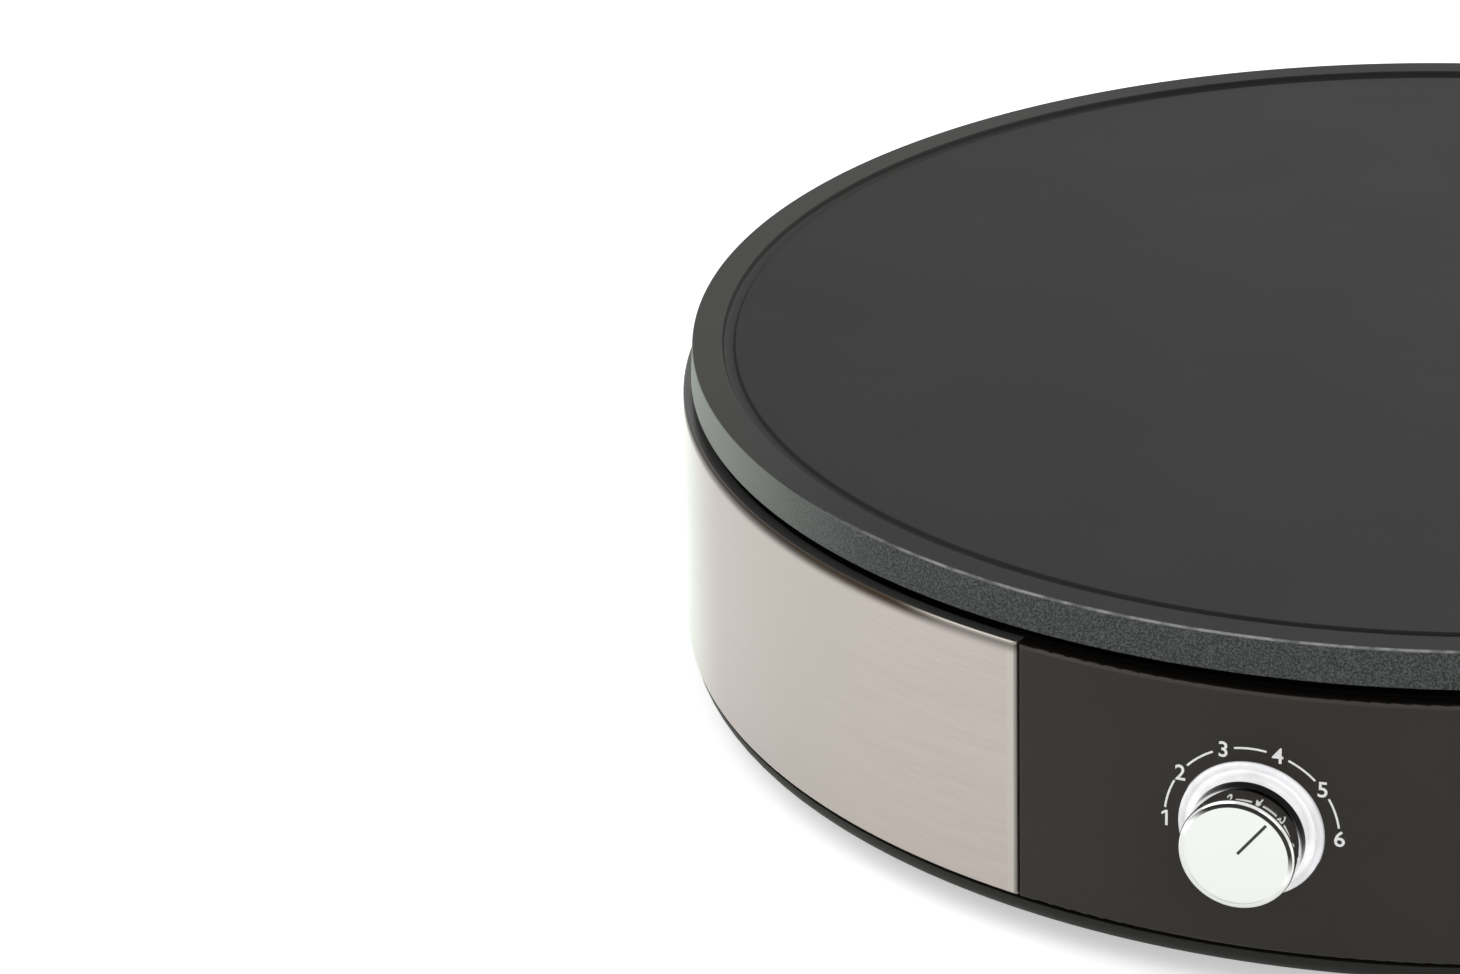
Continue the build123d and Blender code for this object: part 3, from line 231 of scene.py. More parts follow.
def tint(tree, factor, first, second):
    node = tree.nodes.new("ShaderNodeMix")
    node.data_type = "RGBA"
    tree.links.new(factor, node.inputs["Factor"])
    for socket, value in zip([s for s in node.inputs if s.type == "RGBA"], (first, second)):
        if isinstance(value, tuple):
            socket.default_value = (*value, 1)
        else:
            tree.links.new(value, socket)
    return next(s for s in node.outputs if s.type == "RGBA")


def relief(tree, shader, height, depth):
    node = tree.nodes.new("ShaderNodeBump")
    node.inputs["Strength"].default_value = 1.0
    node.inputs["Distance"].default_value = depth
    tree.links.new(height, node.inputs["Height"])
    tree.links.new(node.outputs[0], shader.inputs["Normal"])


def axes(tree, point):
    node = tree.nodes.new("ShaderNodeSeparateXYZ")
    tree.links.new(point, node.inputs[0])
    return node.outputs[0], node.outputs[1], node.outputs[2]


def fromAxis(tree, a, b):
    return calc(tree, "SQRT", calc(tree, "ADD", times(tree, a, a), times(tree, b, b)))


def toned(colour, share):
    return tuple(min(1.0, c * share) for c in colour)


def plainWords(slotName):
    words = slotName.split("_")
    return words[0] + "".join(word.title() for word in words[1:])


makeStudio()
print("studio lit")


def addNode(tree, kind, **sockets):
    node = tree.nodes.new(kind)
    for name, value in sockets.items():
        socket = node.inputs[name.replace("_", " ")]
        if isinstance(value, bpy.types.NodeSocket):
            tree.links.new(value, socket)
        else:
            socket.default_value = value
    return node


def startTree(name, sizes):
    # a tree that takes a mesh and the named sizes, and gives a mesh
    tree = bpy.data.node_groups.new(name, "GeometryNodeTree")
    tree.interface.new_socket("Geometry", in_out="OUTPUT", socket_type="NodeSocketGeometry")
    tree.interface.new_socket("Geometry", in_out="INPUT", socket_type="NodeSocketGeometry")
    for label, kind in (*sizes, ("finish", "NodeSocketMaterial")):
        tree.interface.new_socket(label, in_out="INPUT", socket_type=kind)
    return tree, tree.nodes.new("NodeGroupInput").outputs


def endTree(tree, geometry, finish):
    real = addNode(tree, "GeometryNodeRealizeInstances", Geometry=geometry)
    dressed = addNode(tree, "GeometryNodeSetMaterial", Geometry=real.outputs[0], Material=finish)
    out = tree.nodes.new("NodeGroupOutput")
    tree.links.new(dressed.outputs[0], out.inputs[0])
    return tree


def makeTurnedBody():
    # a profile of (radius, height) points carried round the upright axis, from the front towards +x
    tree, given = startTree(
        "turnedBody",
        (
            ("pointCount", "NodeSocketInt"),
            ("stepCount", "NodeSocketInt"),
            ("startAngle", "NodeSocketFloat"),
            ("sweepAngle", "NodeSocketFloat"),
        ),
    )
    rows = calc(tree, "ADD", given["stepCount"], 1)
    index = tree.nodes.new("GeometryNodeInputIndex").outputs[0]
    onProfile = calc(tree, "FLOOR", calc(tree, "DIVIDE", calc(tree, "ADD", index, 0.5), rows))
    step = calc(tree, "SUBTRACT", index, times(tree, onProfile, rows))
    turn = times(tree, calc(tree, "DIVIDE", step, given["stepCount"]), given["sweepAngle"])
    angle = calc(tree, "ADD", turn, given["startAngle"])
    sample = tree.nodes.new("GeometryNodeSampleIndex")
    sample.data_type = "FLOAT_VECTOR"
    tree.links.new(given["Geometry"], sample.inputs["Geometry"])
    tree.links.new(tree.nodes.new("GeometryNodeInputPosition").outputs[0], sample.inputs["Value"])
    tree.links.new(onProfile, sample.inputs["Index"])
    radius, _, height = axes(tree, sample.outputs[0])
    spot = addNode(
        tree,
        "ShaderNodeCombineXYZ",
        X=times(tree, radius, calc(tree, "SINE", angle)),
        Y=times(tree, radius, times(tree, calc(tree, "COSINE", angle), -1.0)),
        Z=height,
    )
    net = addNode(tree, "GeometryNodeMeshGrid", Vertices_X=given["pointCount"], Vertices_Y=rows)
    moved = addNode(tree, "GeometryNodeSetPosition", Geometry=net.outputs[0], Position=spot.outputs[0])
    closed = addNode(tree, "GeometryNodeMergeByDistance", Geometry=moved.outputs[0], Distance=weld)
    return endTree(tree, closed.outputs[0], given["finish"])


def makeRingOfCopies():
    # copies of a mesh at equal steps round the upright axis
    tree, given = startTree(
        "ringOfCopies",
        (
            ("copies", "NodeSocketInt"),
            ("circleRadius", "NodeSocketFloat"),
            ("firstAngle", "NodeSocketFloat"),
            ("stepAngle", "NodeSocketFloat"),
        ),
    )
    index = tree.nodes.new("GeometryNodeInputIndex").outputs[0]
    angle = calc(tree, "ADD", times(tree, index, given["stepAngle"]), given["firstAngle"])
    spot = addNode(
        tree,
        "ShaderNodeCombineXYZ",
        X=times(tree, given["circleRadius"], calc(tree, "SINE", angle)),
        Y=times(tree, given["circleRadius"], times(tree, calc(tree, "COSINE", angle), -1.0)),
    )
    dots = addNode(tree, "GeometryNodePoints", Count=given["copies"], Position=spot.outputs[0])
    turn = addNode(tree, "ShaderNodeCombineXYZ", Z=angle)
    copies = tree.nodes.new("GeometryNodeInstanceOnPoints")
    tree.links.new(dots.outputs[0], copies.inputs["Points"])
    tree.links.new(given["Geometry"], copies.inputs["Instance"])
    tree.links.new(turn.outputs[0], copies.inputs["Rotation"])
    return endTree(tree, copies.outputs[0], given["finish"])


def grow(tree, mesh, finish, **sizes):
    # runs a tree on a mesh and gives back the plain mesh that it makes
    carrier = bpy.data.objects.new("carrier", mesh)
    bpy.context.scene.collection.objects.link(carrier)
    modifier = carrier.modifiers.new(tree.name, "NODES")
    modifier.node_group = tree
    for item in tree.interface.items_tree:
        if item.in_out == "INPUT" and item.name in sizes:
            modifier[item.identifier] = sizes[item.name]
        if item.in_out == "INPUT" and item.name == "finish":
            modifier[item.identifier] = finish
    bpy.context.view_layer.update()
    ready = carrier.evaluated_get(bpy.context.evaluated_depsgraph_get())
    grown = bpy.data.meshes.new_from_object(ready)
    carrier.modifiers.clear()
    bpy.data.objects.remove(carrier)
    return grown


def pointMesh(points):
    mesh = bpy.data.meshes.new("profilePoints")
    spots = [(x * mm, 0, z * mm) for x, z in points]
    mesh.from_pydata(spots, [(k, k + 1) for k in range(len(spots) - 1)], [])
    return mesh


def eased(corners, steps=5):
    # the outline through (x, z, radius) corners, each rounded by its radius
    points = []
    count = len(corners)
    for k, (x, z, radius) in enumerate(corners):
        here = Vector((x, z))
        before, after = Vector(corners[k - 1][:2]), Vector(corners[(k + 1) % count][:2])
        if not radius or k in (0, count - 1):
            points.append((x, z))
            continue
        one, two = (before - here).normalized(), (after - here).normalized()
        half = one.angle(two) / 2
        reach = radius / math.tan(half)
        centre = here + (one + two).normalized() * radius / math.sin(half)
        first, last = here + one * reach - centre, here + two * reach - centre
        span = first.angle_signed(last)
        for n in range(steps + 1):
            turn = Matrix.Rotation(-span * n / steps, 2)
            spot = centre + turn @ first
            points.append((spot.x, spot.y))
    return points


def turnedMesh(profile, finish, steps=256, start=0.0, sweep=360.0):
    return grow(
        turnedBody,
        pointMesh(profile),
        finish,
        pointCount=len(profile),
        stepCount=steps,
        startAngle=math.radians(start),
        sweepAngle=math.radians(sweep),
    )


def ringMesh(mesh, finish, copies, radius, first, step):
    return grow(
        ringOfCopies,
        mesh,
        finish,
        copies=copies,
        circleRadius=radius * mm,
        firstAngle=math.radians(first),
        stepAngle=math.radians(step),
    )


def onDiagonals(mesh, finish, radius):
    return ringMesh(mesh, finish, copies=4, radius=radius, first=45, step=90)


def joined(meshes):
    work = bmesh.new()
    for mesh in meshes:
        work.from_mesh(mesh)
    whole = bpy.data.meshes.new("joined")
    work.to_mesh(whole)
    work.free()
    return whole


def setPiece(name, mesh, finish, body):
    # a finished piece at the origin: faces outwards, smooth, with its hard edges kept
    work = bmesh.new()
    work.from_mesh(mesh)
    bmesh.ops.remove_doubles(work, verts=work.verts, dist=weld)
    bmesh.ops.recalc_face_normals(work, faces=work.faces)
    if work.calc_volume(signed=True) < 0:
        bmesh.ops.reverse_faces(work, faces=work.faces)
    work.to_mesh(mesh)
    work.free()
    mesh.materials.clear()
    mesh.materials.append(finish)
    mesh.shade_smooth()
    mesh.set_sharp_from_angle(angle=hardEdge)
    obj = bpy.data.objects.new(name, mesh)
    bpy.context.scene.collection.objects.link(obj)
    weigh = obj.modifiers.new("evenShading", "WEIGHTED_NORMAL")
    weigh.mode = "FACE_AREA"
    weigh.keep_sharp = True
    bpy.context.view_layer.update()
    ready = obj.evaluated_get(bpy.context.evaluated_depsgraph_get())
    flat = bpy.data.meshes.new_from_object(ready)
    obj.modifiers.clear()
    obj.data = flat
    flat.name = name
    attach(obj, body)
    return obj


turnedBody = makeTurnedBody()
ringOfCopies = makeRingOfCopies()
print("node trees built")

plate = {
    "radius": 165.0,
    "footRadius": 165.5,
    "foot": 68.0,
    "rimTop": 75.9,
    "surface": 75.3,
    "underside": 69.9,
    "wall": 4.0,
    "channelOut": 158.5,
    "channelIn": 155.5,
    "channelFloor": 74.6,
    "slant": 0.5,  # how far each side of the channel leans
    "round": 0.45,
    "footRound": 0.25,
    "cornerRound": 0.8,  # inside the wall
    "floorRound": (0.7, 0.4),  # at the channel's outer and inner foot
    "steps": 288,
    "bossBottom": 63.9,
    "bossRadius": 7.0,
    "bossCircle": 136.0,
    "bossSteps": 40,
    "strapBossBottom": 66.05,
    "strapBossRadius": 5.0,
    "strapBossCircle": 99.0,
    "strapBossSteps": 32,
    "strapAzimuths": (20, 110, 215, 300),
    "sunk": 1.0,  # how far each boss reaches into the plate
}
coating = {
    "surface": (0.0115, 0.0100, 0.0095),  # where the batter goes
    "surfacePale": (0.0165, 0.0150, 0.0140),
    "rim": (0.013, 0.0125, 0.0122),
    "rimPale": (0.019, 0.0185, 0.0182),
    "rimReflection": (0.037, 0.036, 0.034),  # painted reflection, towards the plate's sides
    "wall": (0.034, 0.037, 0.036),
    "wallPale": (0.098, 0.104, 0.102),
    # painted reflection on the wall, paler towards the plate's sides
    "wallReflection": (0.210, 0.232, 0.205),
    "aside": (78, 148),  # mm sideways, from the first paler spot of the painted reflection to the palest
    "wallEdge": (0.75, 0.55),  # mm in from the plate's widest, where the wall's colour starts
    "grainScale": 3000,
    "wallGrain": 2300,
    "gloss": 0.09,
    "oiled": (0.515, 0.535),  # roughness
    "oilScale": 24,
    "peel": 0.006 * mm,
    "turnPitch": 1.1,
    "turnShare": 0.10,  # of the turning marks in the relief
    # painted highlight along the rim's outer top edge, broken up by noise, whole in front and faded
    # towards the sides
    "edgeHighlight": (0.27, 0.27, 0.26),
    "highlightBreakScale": 210,
    "leastHighlight": 0.30,
    "highlightIn": (1.15, 0.75),  # mm in from the plate's widest
    "highlightDown": (0.50, 0.20),  # mm below the rim's top
    "highlightAside": (108, 62),  # mm sideways, from where it has faded to where it is whole
}


def makeCoatedPlate():
    mat, tree, shader = newFinish("coatedPlate", coating["surface"], 0.5, gloss=coating["gloss"])
    point = piecePoint(tree)
    x, y, z = axes(tree, point)
    radius = fromAxis(tree, x, y)
    inward = calc(tree, "SUBTRACT", plateHigh.x, radius)
    down = calc(tree, "SUBTRACT", plateHigh.z, z)
    sideways = calc(tree, "ABSOLUTE", x)
    # painted reflection: rim and wall paler towards the plate's sides, where they are seen at a grazing
    # angle
    aside = fade(tree, sideways, coating["aside"])
    fine = grain(tree, point, coating["grainScale"], 2.0, 0.6)
    share = spread(tree, fine, 0.35, 0.65)
    glints = spread(tree, grain(tree, point, coating["wallGrain"], 2.0, 0.7), 0.40, 0.64)
    inner = tint(tree, share, coating["surface"], coating["surfacePale"])
    outer = tint(tree, share, coating["rim"], coating["rimPale"])
    outer = tint(tree, aside, outer, coating["rimReflection"])
    side = tint(tree, glints, coating["wall"], coating["wallPale"])
    side = tint(tree, aside, side, coating["wallReflection"])
    onRim = fade(tree, radius, (plate["channelIn"], plate["channelOut"]))
    onWall = fade(tree, inward, coating["wallEdge"])
    colour = tint(tree, onWall, tint(tree, onRim, inner, outer), side)
    # painted highlight along the rim's outer top edge
    rimEdge = times(tree, fade(tree, inward, coating["highlightIn"]), fade(tree, down, coating["highlightDown"]))
    highlightBreaks = grain(tree, point, coating["highlightBreakScale"], 4.0)
    highlightBreaks = spread(tree, highlightBreaks, 0.36, 0.62, coating["leastHighlight"], 1.0)
    highlightBreaks = times(tree, highlightBreaks, fade(tree, sideways, coating["highlightAside"]))
    colour = tint(tree, times(tree, rimEdge, highlightBreaks), colour, coating["edgeHighlight"])
    tree.links.new(colour, shader.inputs["Base Color"])
    oiled = grain(tree, point, coating["oilScale"], 3.0)
    oiled = spread(tree, oiled, 0.32, 0.68, *coating["oiled"])
    tree.links.new(oiled, shader.inputs["Roughness"])
    turned = calc(tree, "SINE", times(tree, radius, 2 * math.pi / (coating["turnPitch"] * mm)))
    height = calc(tree, "ADD", times(tree, turned, coating["turnShare"]), fine)
    relief(tree, shader, height, coating["peel"])
    return mat


def post(radius, low, high):
    return [(0, low), (radius, low), (radius, high), (0, high)]


def makePlate():
    finish = finishes["coated_plate"]
    inside = plate["radius"] - plate["wall"]
    outerFloor, innerFloor = plate["floorRound"]
    outline = eased(
        [
            (0, plate["underside"], 0),
            (inside, plate["underside"], plate["cornerRound"]),
            (inside, plate["foot"], plate["footRound"]),
            (plate["footRadius"], plate["foot"], plate["footRound"]),
            (plate["radius"], plate["rimTop"], plate["round"]),
            (plate["channelOut"], plate["rimTop"], plate["round"]),
            (plate["channelOut"] - plate["slant"], plate["channelFloor"], outerFloor),
            (plate["channelIn"] + plate["slant"], plate["channelFloor"], innerFloor),
            (plate["channelIn"], plate["surface"], plate["round"]),
            (0, plate["surface"], 0),
        ]
    )
    disc = turnedMesh(outline, finish, plate["steps"])
    bossTop = plate["underside"] + plate["sunk"]
    boss = post(plate["bossRadius"], plate["bossBottom"], bossTop)
    boss = turnedMesh(boss, finish, plate["bossSteps"])
    parts = [disc, onDiagonals(boss, finish, plate["bossCircle"])]
    small = post(plate["strapBossRadius"], plate["strapBossBottom"], bossTop)
    small = turnedMesh(small, finish, plate["strapBossSteps"])
    for azimuth in plate["strapAzimuths"]:
        parts.append(ringMesh(small, finish, 1, plate["strapBossCircle"], azimuth, 0))
    piece = setPiece("plate", joined(parts), finish, "drum")
    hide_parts("hotplate")


skin = {
    "footRadius": 168.3,
    "topRadius": 167.3,
    "foot": 10.3,
    "top": 65.7,
    "frontHalf": 17.0,  # half of the control panel, in degrees
    "rearHalf": 10.0,
    "seam": 0.45,
    "fold": 1.5,  # radius of the upright edges
    "hem": 0.7,  # radius of the upper and lower edges
    "foldDepth": 3.0,
    "sheet": 0.8,
    "columns": 110,
    "rows": 10,
}
steel = {
    "colour": (0.398, 0.356, 0.331),
    "paler": (0.432, 0.390, 0.365),
    "cooler": (0.400, 0.368, 0.338),
    "leftReflection": (0.660, 0.715, 0.650),  # painted reflection, paler and greener towards the drum's left side
    "left": (-132, -158),  # mm sideways, where it starts and where it is whole
    "strokeLength": 60,  # brush strokes per metre round the drum
    "strokeFine": 2400,  # and up it
    "broadLength": 12,  # the same for the broader strokes
    "broadFine": 400,
    "fineShare": 0.7,
    "broadShare": 0.3,
    "cloudScale": 13,
    "anisotropy": 0.5,
    "gloss": (0.31, 0.38),
    "depth": 0.0018 * mm,
    # the folded edges: painted highlights and shades, with places in mm from the sheet's ends or below
    # its top
    # painted highlight along the upright folded edges
    "uprightHighlight": (0.430, 0.395, 0.355),
    "strip": (2.6, 2.3),
    "end": (0.235, 0.225, 0.205),  # painted shade on the last of the sheet, where it rolls in beside a black panel
    "seamShadeWidth": (1.15, 0.85),
    "shadow": (0.035, 0.024, 0.016),
    "shadowReach": (3.0, 0.7),
    "shadowInFront": 0.66,
    # painted highlight along the upper edge, in front
    "hemHighlight": (0.270, 0.250, 0.230),
    "hemHighlightDepth": (0.75, 0.55),
    "inFront": (80, 60),  # mm sideways, where the painted highlight on the upper edge starts and where it is whole
    "ledge": (0.034, 0.034, 0.033),  # painted shade: the part folded in, in the gap under the plate, is dark grey and not metallic
    "ledgeShadeDepth": (0.12, 0.03),
}


def makeBrushedSkin():
    mat, tree, shader = newFinish("brushedSkin", steel["colour"], 0.34, 1.0)
    along, across = steel["strokeLength"], steel["strokeFine"]
    broadAlong, broadAcross = steel["broadLength"], steel["broadFine"]
    point = piecePoint(tree)
    x, y, z = axes(tree, point)
    fine = grain(tree, piecePoint(tree, (along, along, across)), 1.0, 3.0, 0.65)
    broad = grain(tree, piecePoint(tree, (broadAlong, broadAlong, broadAcross)), 1.0, 2.0)
    cloud = grain(tree, point, steel["cloudScale"], 2.0)
    fine, broad = times(tree, fine, steel["fineShare"]), times(tree, broad, steel["broadShare"])
    strokes = calc(tree, "ADD", fine, broad)
    colour = tint(tree, spread(tree, strokes, 0.34, 0.66), steel["colour"], steel["paler"])
    colour = tint(tree, spread(tree, cloud, 0.35, 0.70, 0.0, 0.6), colour, steel["cooler"])
    # painted reflection: paler towards the drum's left side
    colour = tint(tree, fade(tree, x, steel["left"]), colour, steel["leftReflection"])
    azimuth = calc(tree, "ABSOLUTE", calc(tree, "ARCTAN2", x, times(tree, y, -1.0)))
    fromFront = calc(tree, "SUBTRACT", azimuth, math.radians(skin["frontHalf"]))
    fromRear = calc(tree, "SUBTRACT", math.radians(180 - skin["rearHalf"]), azimuth)
    fromEnd = times(tree, calc(tree, "MINIMUM", fromFront, fromRear), skin["topRadius"] * mm)
    # painted highlight along the upright edges, then painted shade where the sheet rolls in at the seam
    colour = tint(tree, fade(tree, fromEnd, steel["strip"]), colour, steel["uprightHighlight"])
    colour = tint(tree, fade(tree, fromEnd, steel["seamShadeWidth"]), colour, steel["end"])
    below = calc(tree, "SUBTRACT", skin["top"] * mm, z)
    inFront = fade(tree, calc(tree, "ABSOLUTE", x), steel["inFront"])
    shade = spread(tree, inFront, 0, 1, 1.0, steel["shadowInFront"])
    shade = times(tree, fade(tree, below, steel["shadowReach"]), shade)
    colour = tint(tree, shade, colour, steel["shadow"])
    # painted highlight along the upper edge, in front
    line = times(tree, inFront, fade(tree, below, steel["hemHighlightDepth"]))
    colour = tint(tree, line, colour, steel["hemHighlight"])
    # painted shade on the folded-in part under the plate, which is also not metallic
    folded = fade(tree, below, steel["ledgeShadeDepth"])
    colour = tint(tree, folded, colour, steel["ledge"])
    tree.links.new(colour, shader.inputs["Base Color"])
    tree.links.new(calc(tree, "SUBTRACT", 1.0, folded), shader.inputs["Metallic"])
    tree.links.new(spread(tree, strokes, 0.3, 0.7, *steel["gloss"]), shader.inputs["Roughness"])
    shader.inputs["Anisotropic"].default_value = steel["anisotropy"]
    relief(tree, shader, strokes, steel["depth"])
    return mat


def skinRadius(z):
    share = (z - skin["foot"]) / (skin["top"] - skin["foot"])
    return skin["footRadius"] + (skin["topRadius"] - skin["footRadius"]) * share


def foldLines(low, high, count, fold, steps=7):
    # (place, depth) of the lines across a sheet whose two edges are folded in
    edge = [(0.0, skin["foldDepth"])]
    for k in range(steps + 1):
        turn = math.radians(90 * k / steps)
        edge.append((fold * (1 - math.cos(turn)), fold * (1 - math.sin(turn))))
    middle = [(low + fold + (high - low - 2 * fold) * k / count, 0.0) for k in range(1, count)]
    return [(low + t, d) for t, d in edge] + middle + [(high - t, d) for t, d in reversed(edge)]


def makeSteelSkin(name, node, startAngle, endAngle):
    finish = finishes["brushed_skin"]
    gap = math.degrees(skin["seam"] / 2 / skin["topRadius"])
    low = math.radians(startAngle + gap) * skin["topRadius"]
    high = math.radians(endAngle - gap) * skin["topRadius"]
    columns = foldLines(low, high, skin["columns"], skin["fold"])
    rows = foldLines(skin["foot"], skin["top"], skin["rows"], skin["hem"])
    work = bmesh.new()
    net = []
    for along, sideDepth in columns:
        azimuth = along / skin["topRadius"]
        line = []
        for z, edgeDepth in rows:
            radius = (skinRadius(z) - max(sideDepth, edgeDepth)) * mm
            spot = (radius * math.sin(azimuth), -radius * math.cos(azimuth), z * mm)
            line.append(work.verts.new(spot))
        net.append(line)
    for one, two in zip(net, net[1:]):
        for k in range(len(one) - 1):
            work.faces.new((one[k], two[k], two[k + 1], one[k + 1]))
    bmesh.ops.remove_doubles(work, verts=work.verts, dist=weld)
    bmesh.ops.dissolve_degenerate(work, edges=work.edges, dist=weld)
    work.faces.ensure_lookup_table()
    probe = max(work.faces, key=lambda f: f.calc_area())
    out = probe.calc_center_median()
    if probe.normal.dot(Vector((out.x, out.y, 0))) < 0:
        bmesh.ops.reverse_faces(work, faces=work.faces)
    mesh = bpy.data.meshes.new(name)
    work.to_mesh(mesh)
    work.free()
    obj = bpy.data.objects.new(name + "Sheet", mesh)
    bpy.context.scene.collection.objects.link(obj)
    thick = obj.modifiers.new("sheet", "SOLIDIFY")
    thick.thickness = skin["sheet"] * mm
    thick.offset = -1
    thick.use_even_offset = True
    bpy.context.view_layer.update()
    solid = bpy.data.meshes.new_from_object(obj.evaluated_get(bpy.context.evaluated_depsgraph_get()))
    bpy.data.objects.remove(obj)
    piece = setPiece(name, solid, finish, "drum")
    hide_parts(node)


mouldings = {  # colour, roughness, grain scale, grain depth in mm, gloss
    "panel_black": ((0.0190, 0.0156, 0.0124), 0.54, 2600, 0.008, 0.25),
    "base_black": ((0.0150, 0.0148, 0.0115), 0.58, 1900, 0.012, 0.15),
    "housing_black": ((0.0060, 0.0060, 0.0060), 0.66, 1500, 0.016, 0.20),
}
mouldingWear = {
    "darker": 0.90,
    "paler": 1.12,
    "cloudScale": 35,
    "pitted": 0.05,  # how far the roughness goes up and down with the grain
    "smeared": 0.02,  # and with the clouds
    "bevel": 2.1,  # painted highlight where the upper edge catches light
    "topHighlightDepth": (1.1, 0.7),  # mm below the top
    "soot": 0.15,  # painted shadow: the top lies in the plate's shadow
    "topShadowDepth": (0.35, 0.15),
}


def makeMoulding(slotName):
    colour, roughness, scale, depth, gloss = mouldings[slotName]
    mat, tree, shader = newFinish(plainWords(slotName), colour, roughness, gloss=gloss)
    point = piecePoint(tree)
    below = calc(tree, "SUBTRACT", skin["top"] * mm, axes(tree, point)[2])
    pits = grain(tree, point, scale, 2.0, 0.6)
    cloud = grain(tree, point, mouldingWear["cloudScale"], 3.0)
    darker, paler = toned(colour, mouldingWear["darker"]), toned(colour, mouldingWear["paler"])
    shade = tint(tree, spread(tree, cloud, 0.3, 0.7), darker, paler)
    # painted highlight on the upper edge
    bevel = fade(tree, below, mouldingWear["topHighlightDepth"])
    shade = tint(tree, bevel, shade, toned(colour, mouldingWear["bevel"]))
    # painted shadow of the plate over the top, with less gloss there
    inTopShadow = fade(tree, below, mouldingWear["topShadowDepth"])
    shade = tint(tree, inTopShadow, shade, toned(colour, mouldingWear["soot"]))
    tree.links.new(shade, shader.inputs["Base Color"])
    dull = spread(tree, inTopShadow, 0, 1, gloss, gloss * mouldingWear["soot"])
    tree.links.new(dull, shader.inputs["Specular IOR Level"])
    pitted, smeared = mouldingWear["pitted"], mouldingWear["smeared"]
    polish = spread(tree, pits, 0.3, 0.7, roughness - pitted, roughness + pitted)
    smear = spread(tree, cloud, 0.3, 0.7, -smeared, smeared)
    tree.links.new(calc(tree, "ADD", polish, smear), shader.inputs["Roughness"])
    relief(tree, shader, pits, depth * mm)
    return mat


knobFinish = {
    "side": (0.80, 0.80, 0.79),
    "sideRough": 0.035,
    "face": (0.705, 0.728, 0.700),
    "faceRough": 0.36,
    "faceRadius": 10.3,
    "faceEdge": (-0.02, -0.08),  # mm beyond that radius
    "faceDepth": (0.8, 0.6),  # mm behind the face
    "spin": 0.0012 * mm,  # depth of the turning marks on the face
    "spinFine": 7000,
    "handledScale": 160,
    "handled": 0.04,  # roughness added by hands
    # painted reflection: the rounded edge is painted dark on the upper side, and greyer and rougher on
    # the lower side to dim its reflection
    "dark": (0.03, 0.03, 0.028),
    "reflectionSide": math.radians(25),  # clockwise from straight up
    # towards that side, as shares of the face's radius: where each starts and where it is whole
    "reflectionFrom": (0.10, 0.60),
    "dimmedFrom": (0.10, -0.25),
    "edge": (0.66, 0.68, 0.64),
    "edgeStart": (-0.01, 0.05),  # mm beyond the face's radius
    "edgeStop": (0.90, 0.70),
    # painted reflection: the side is painted dark where it would mirror the lit ring, in mm behind the
    # face
    "darkMirrorStart": (5.0, 5.6),
    "blackStart": (5.9, 6.3),
    "darkMirrorStop": (8.9, 8.6),
    "black": (0.010, 0.010, 0.010),
    "blackTint": (0.56, 0.56, 0.56),
}


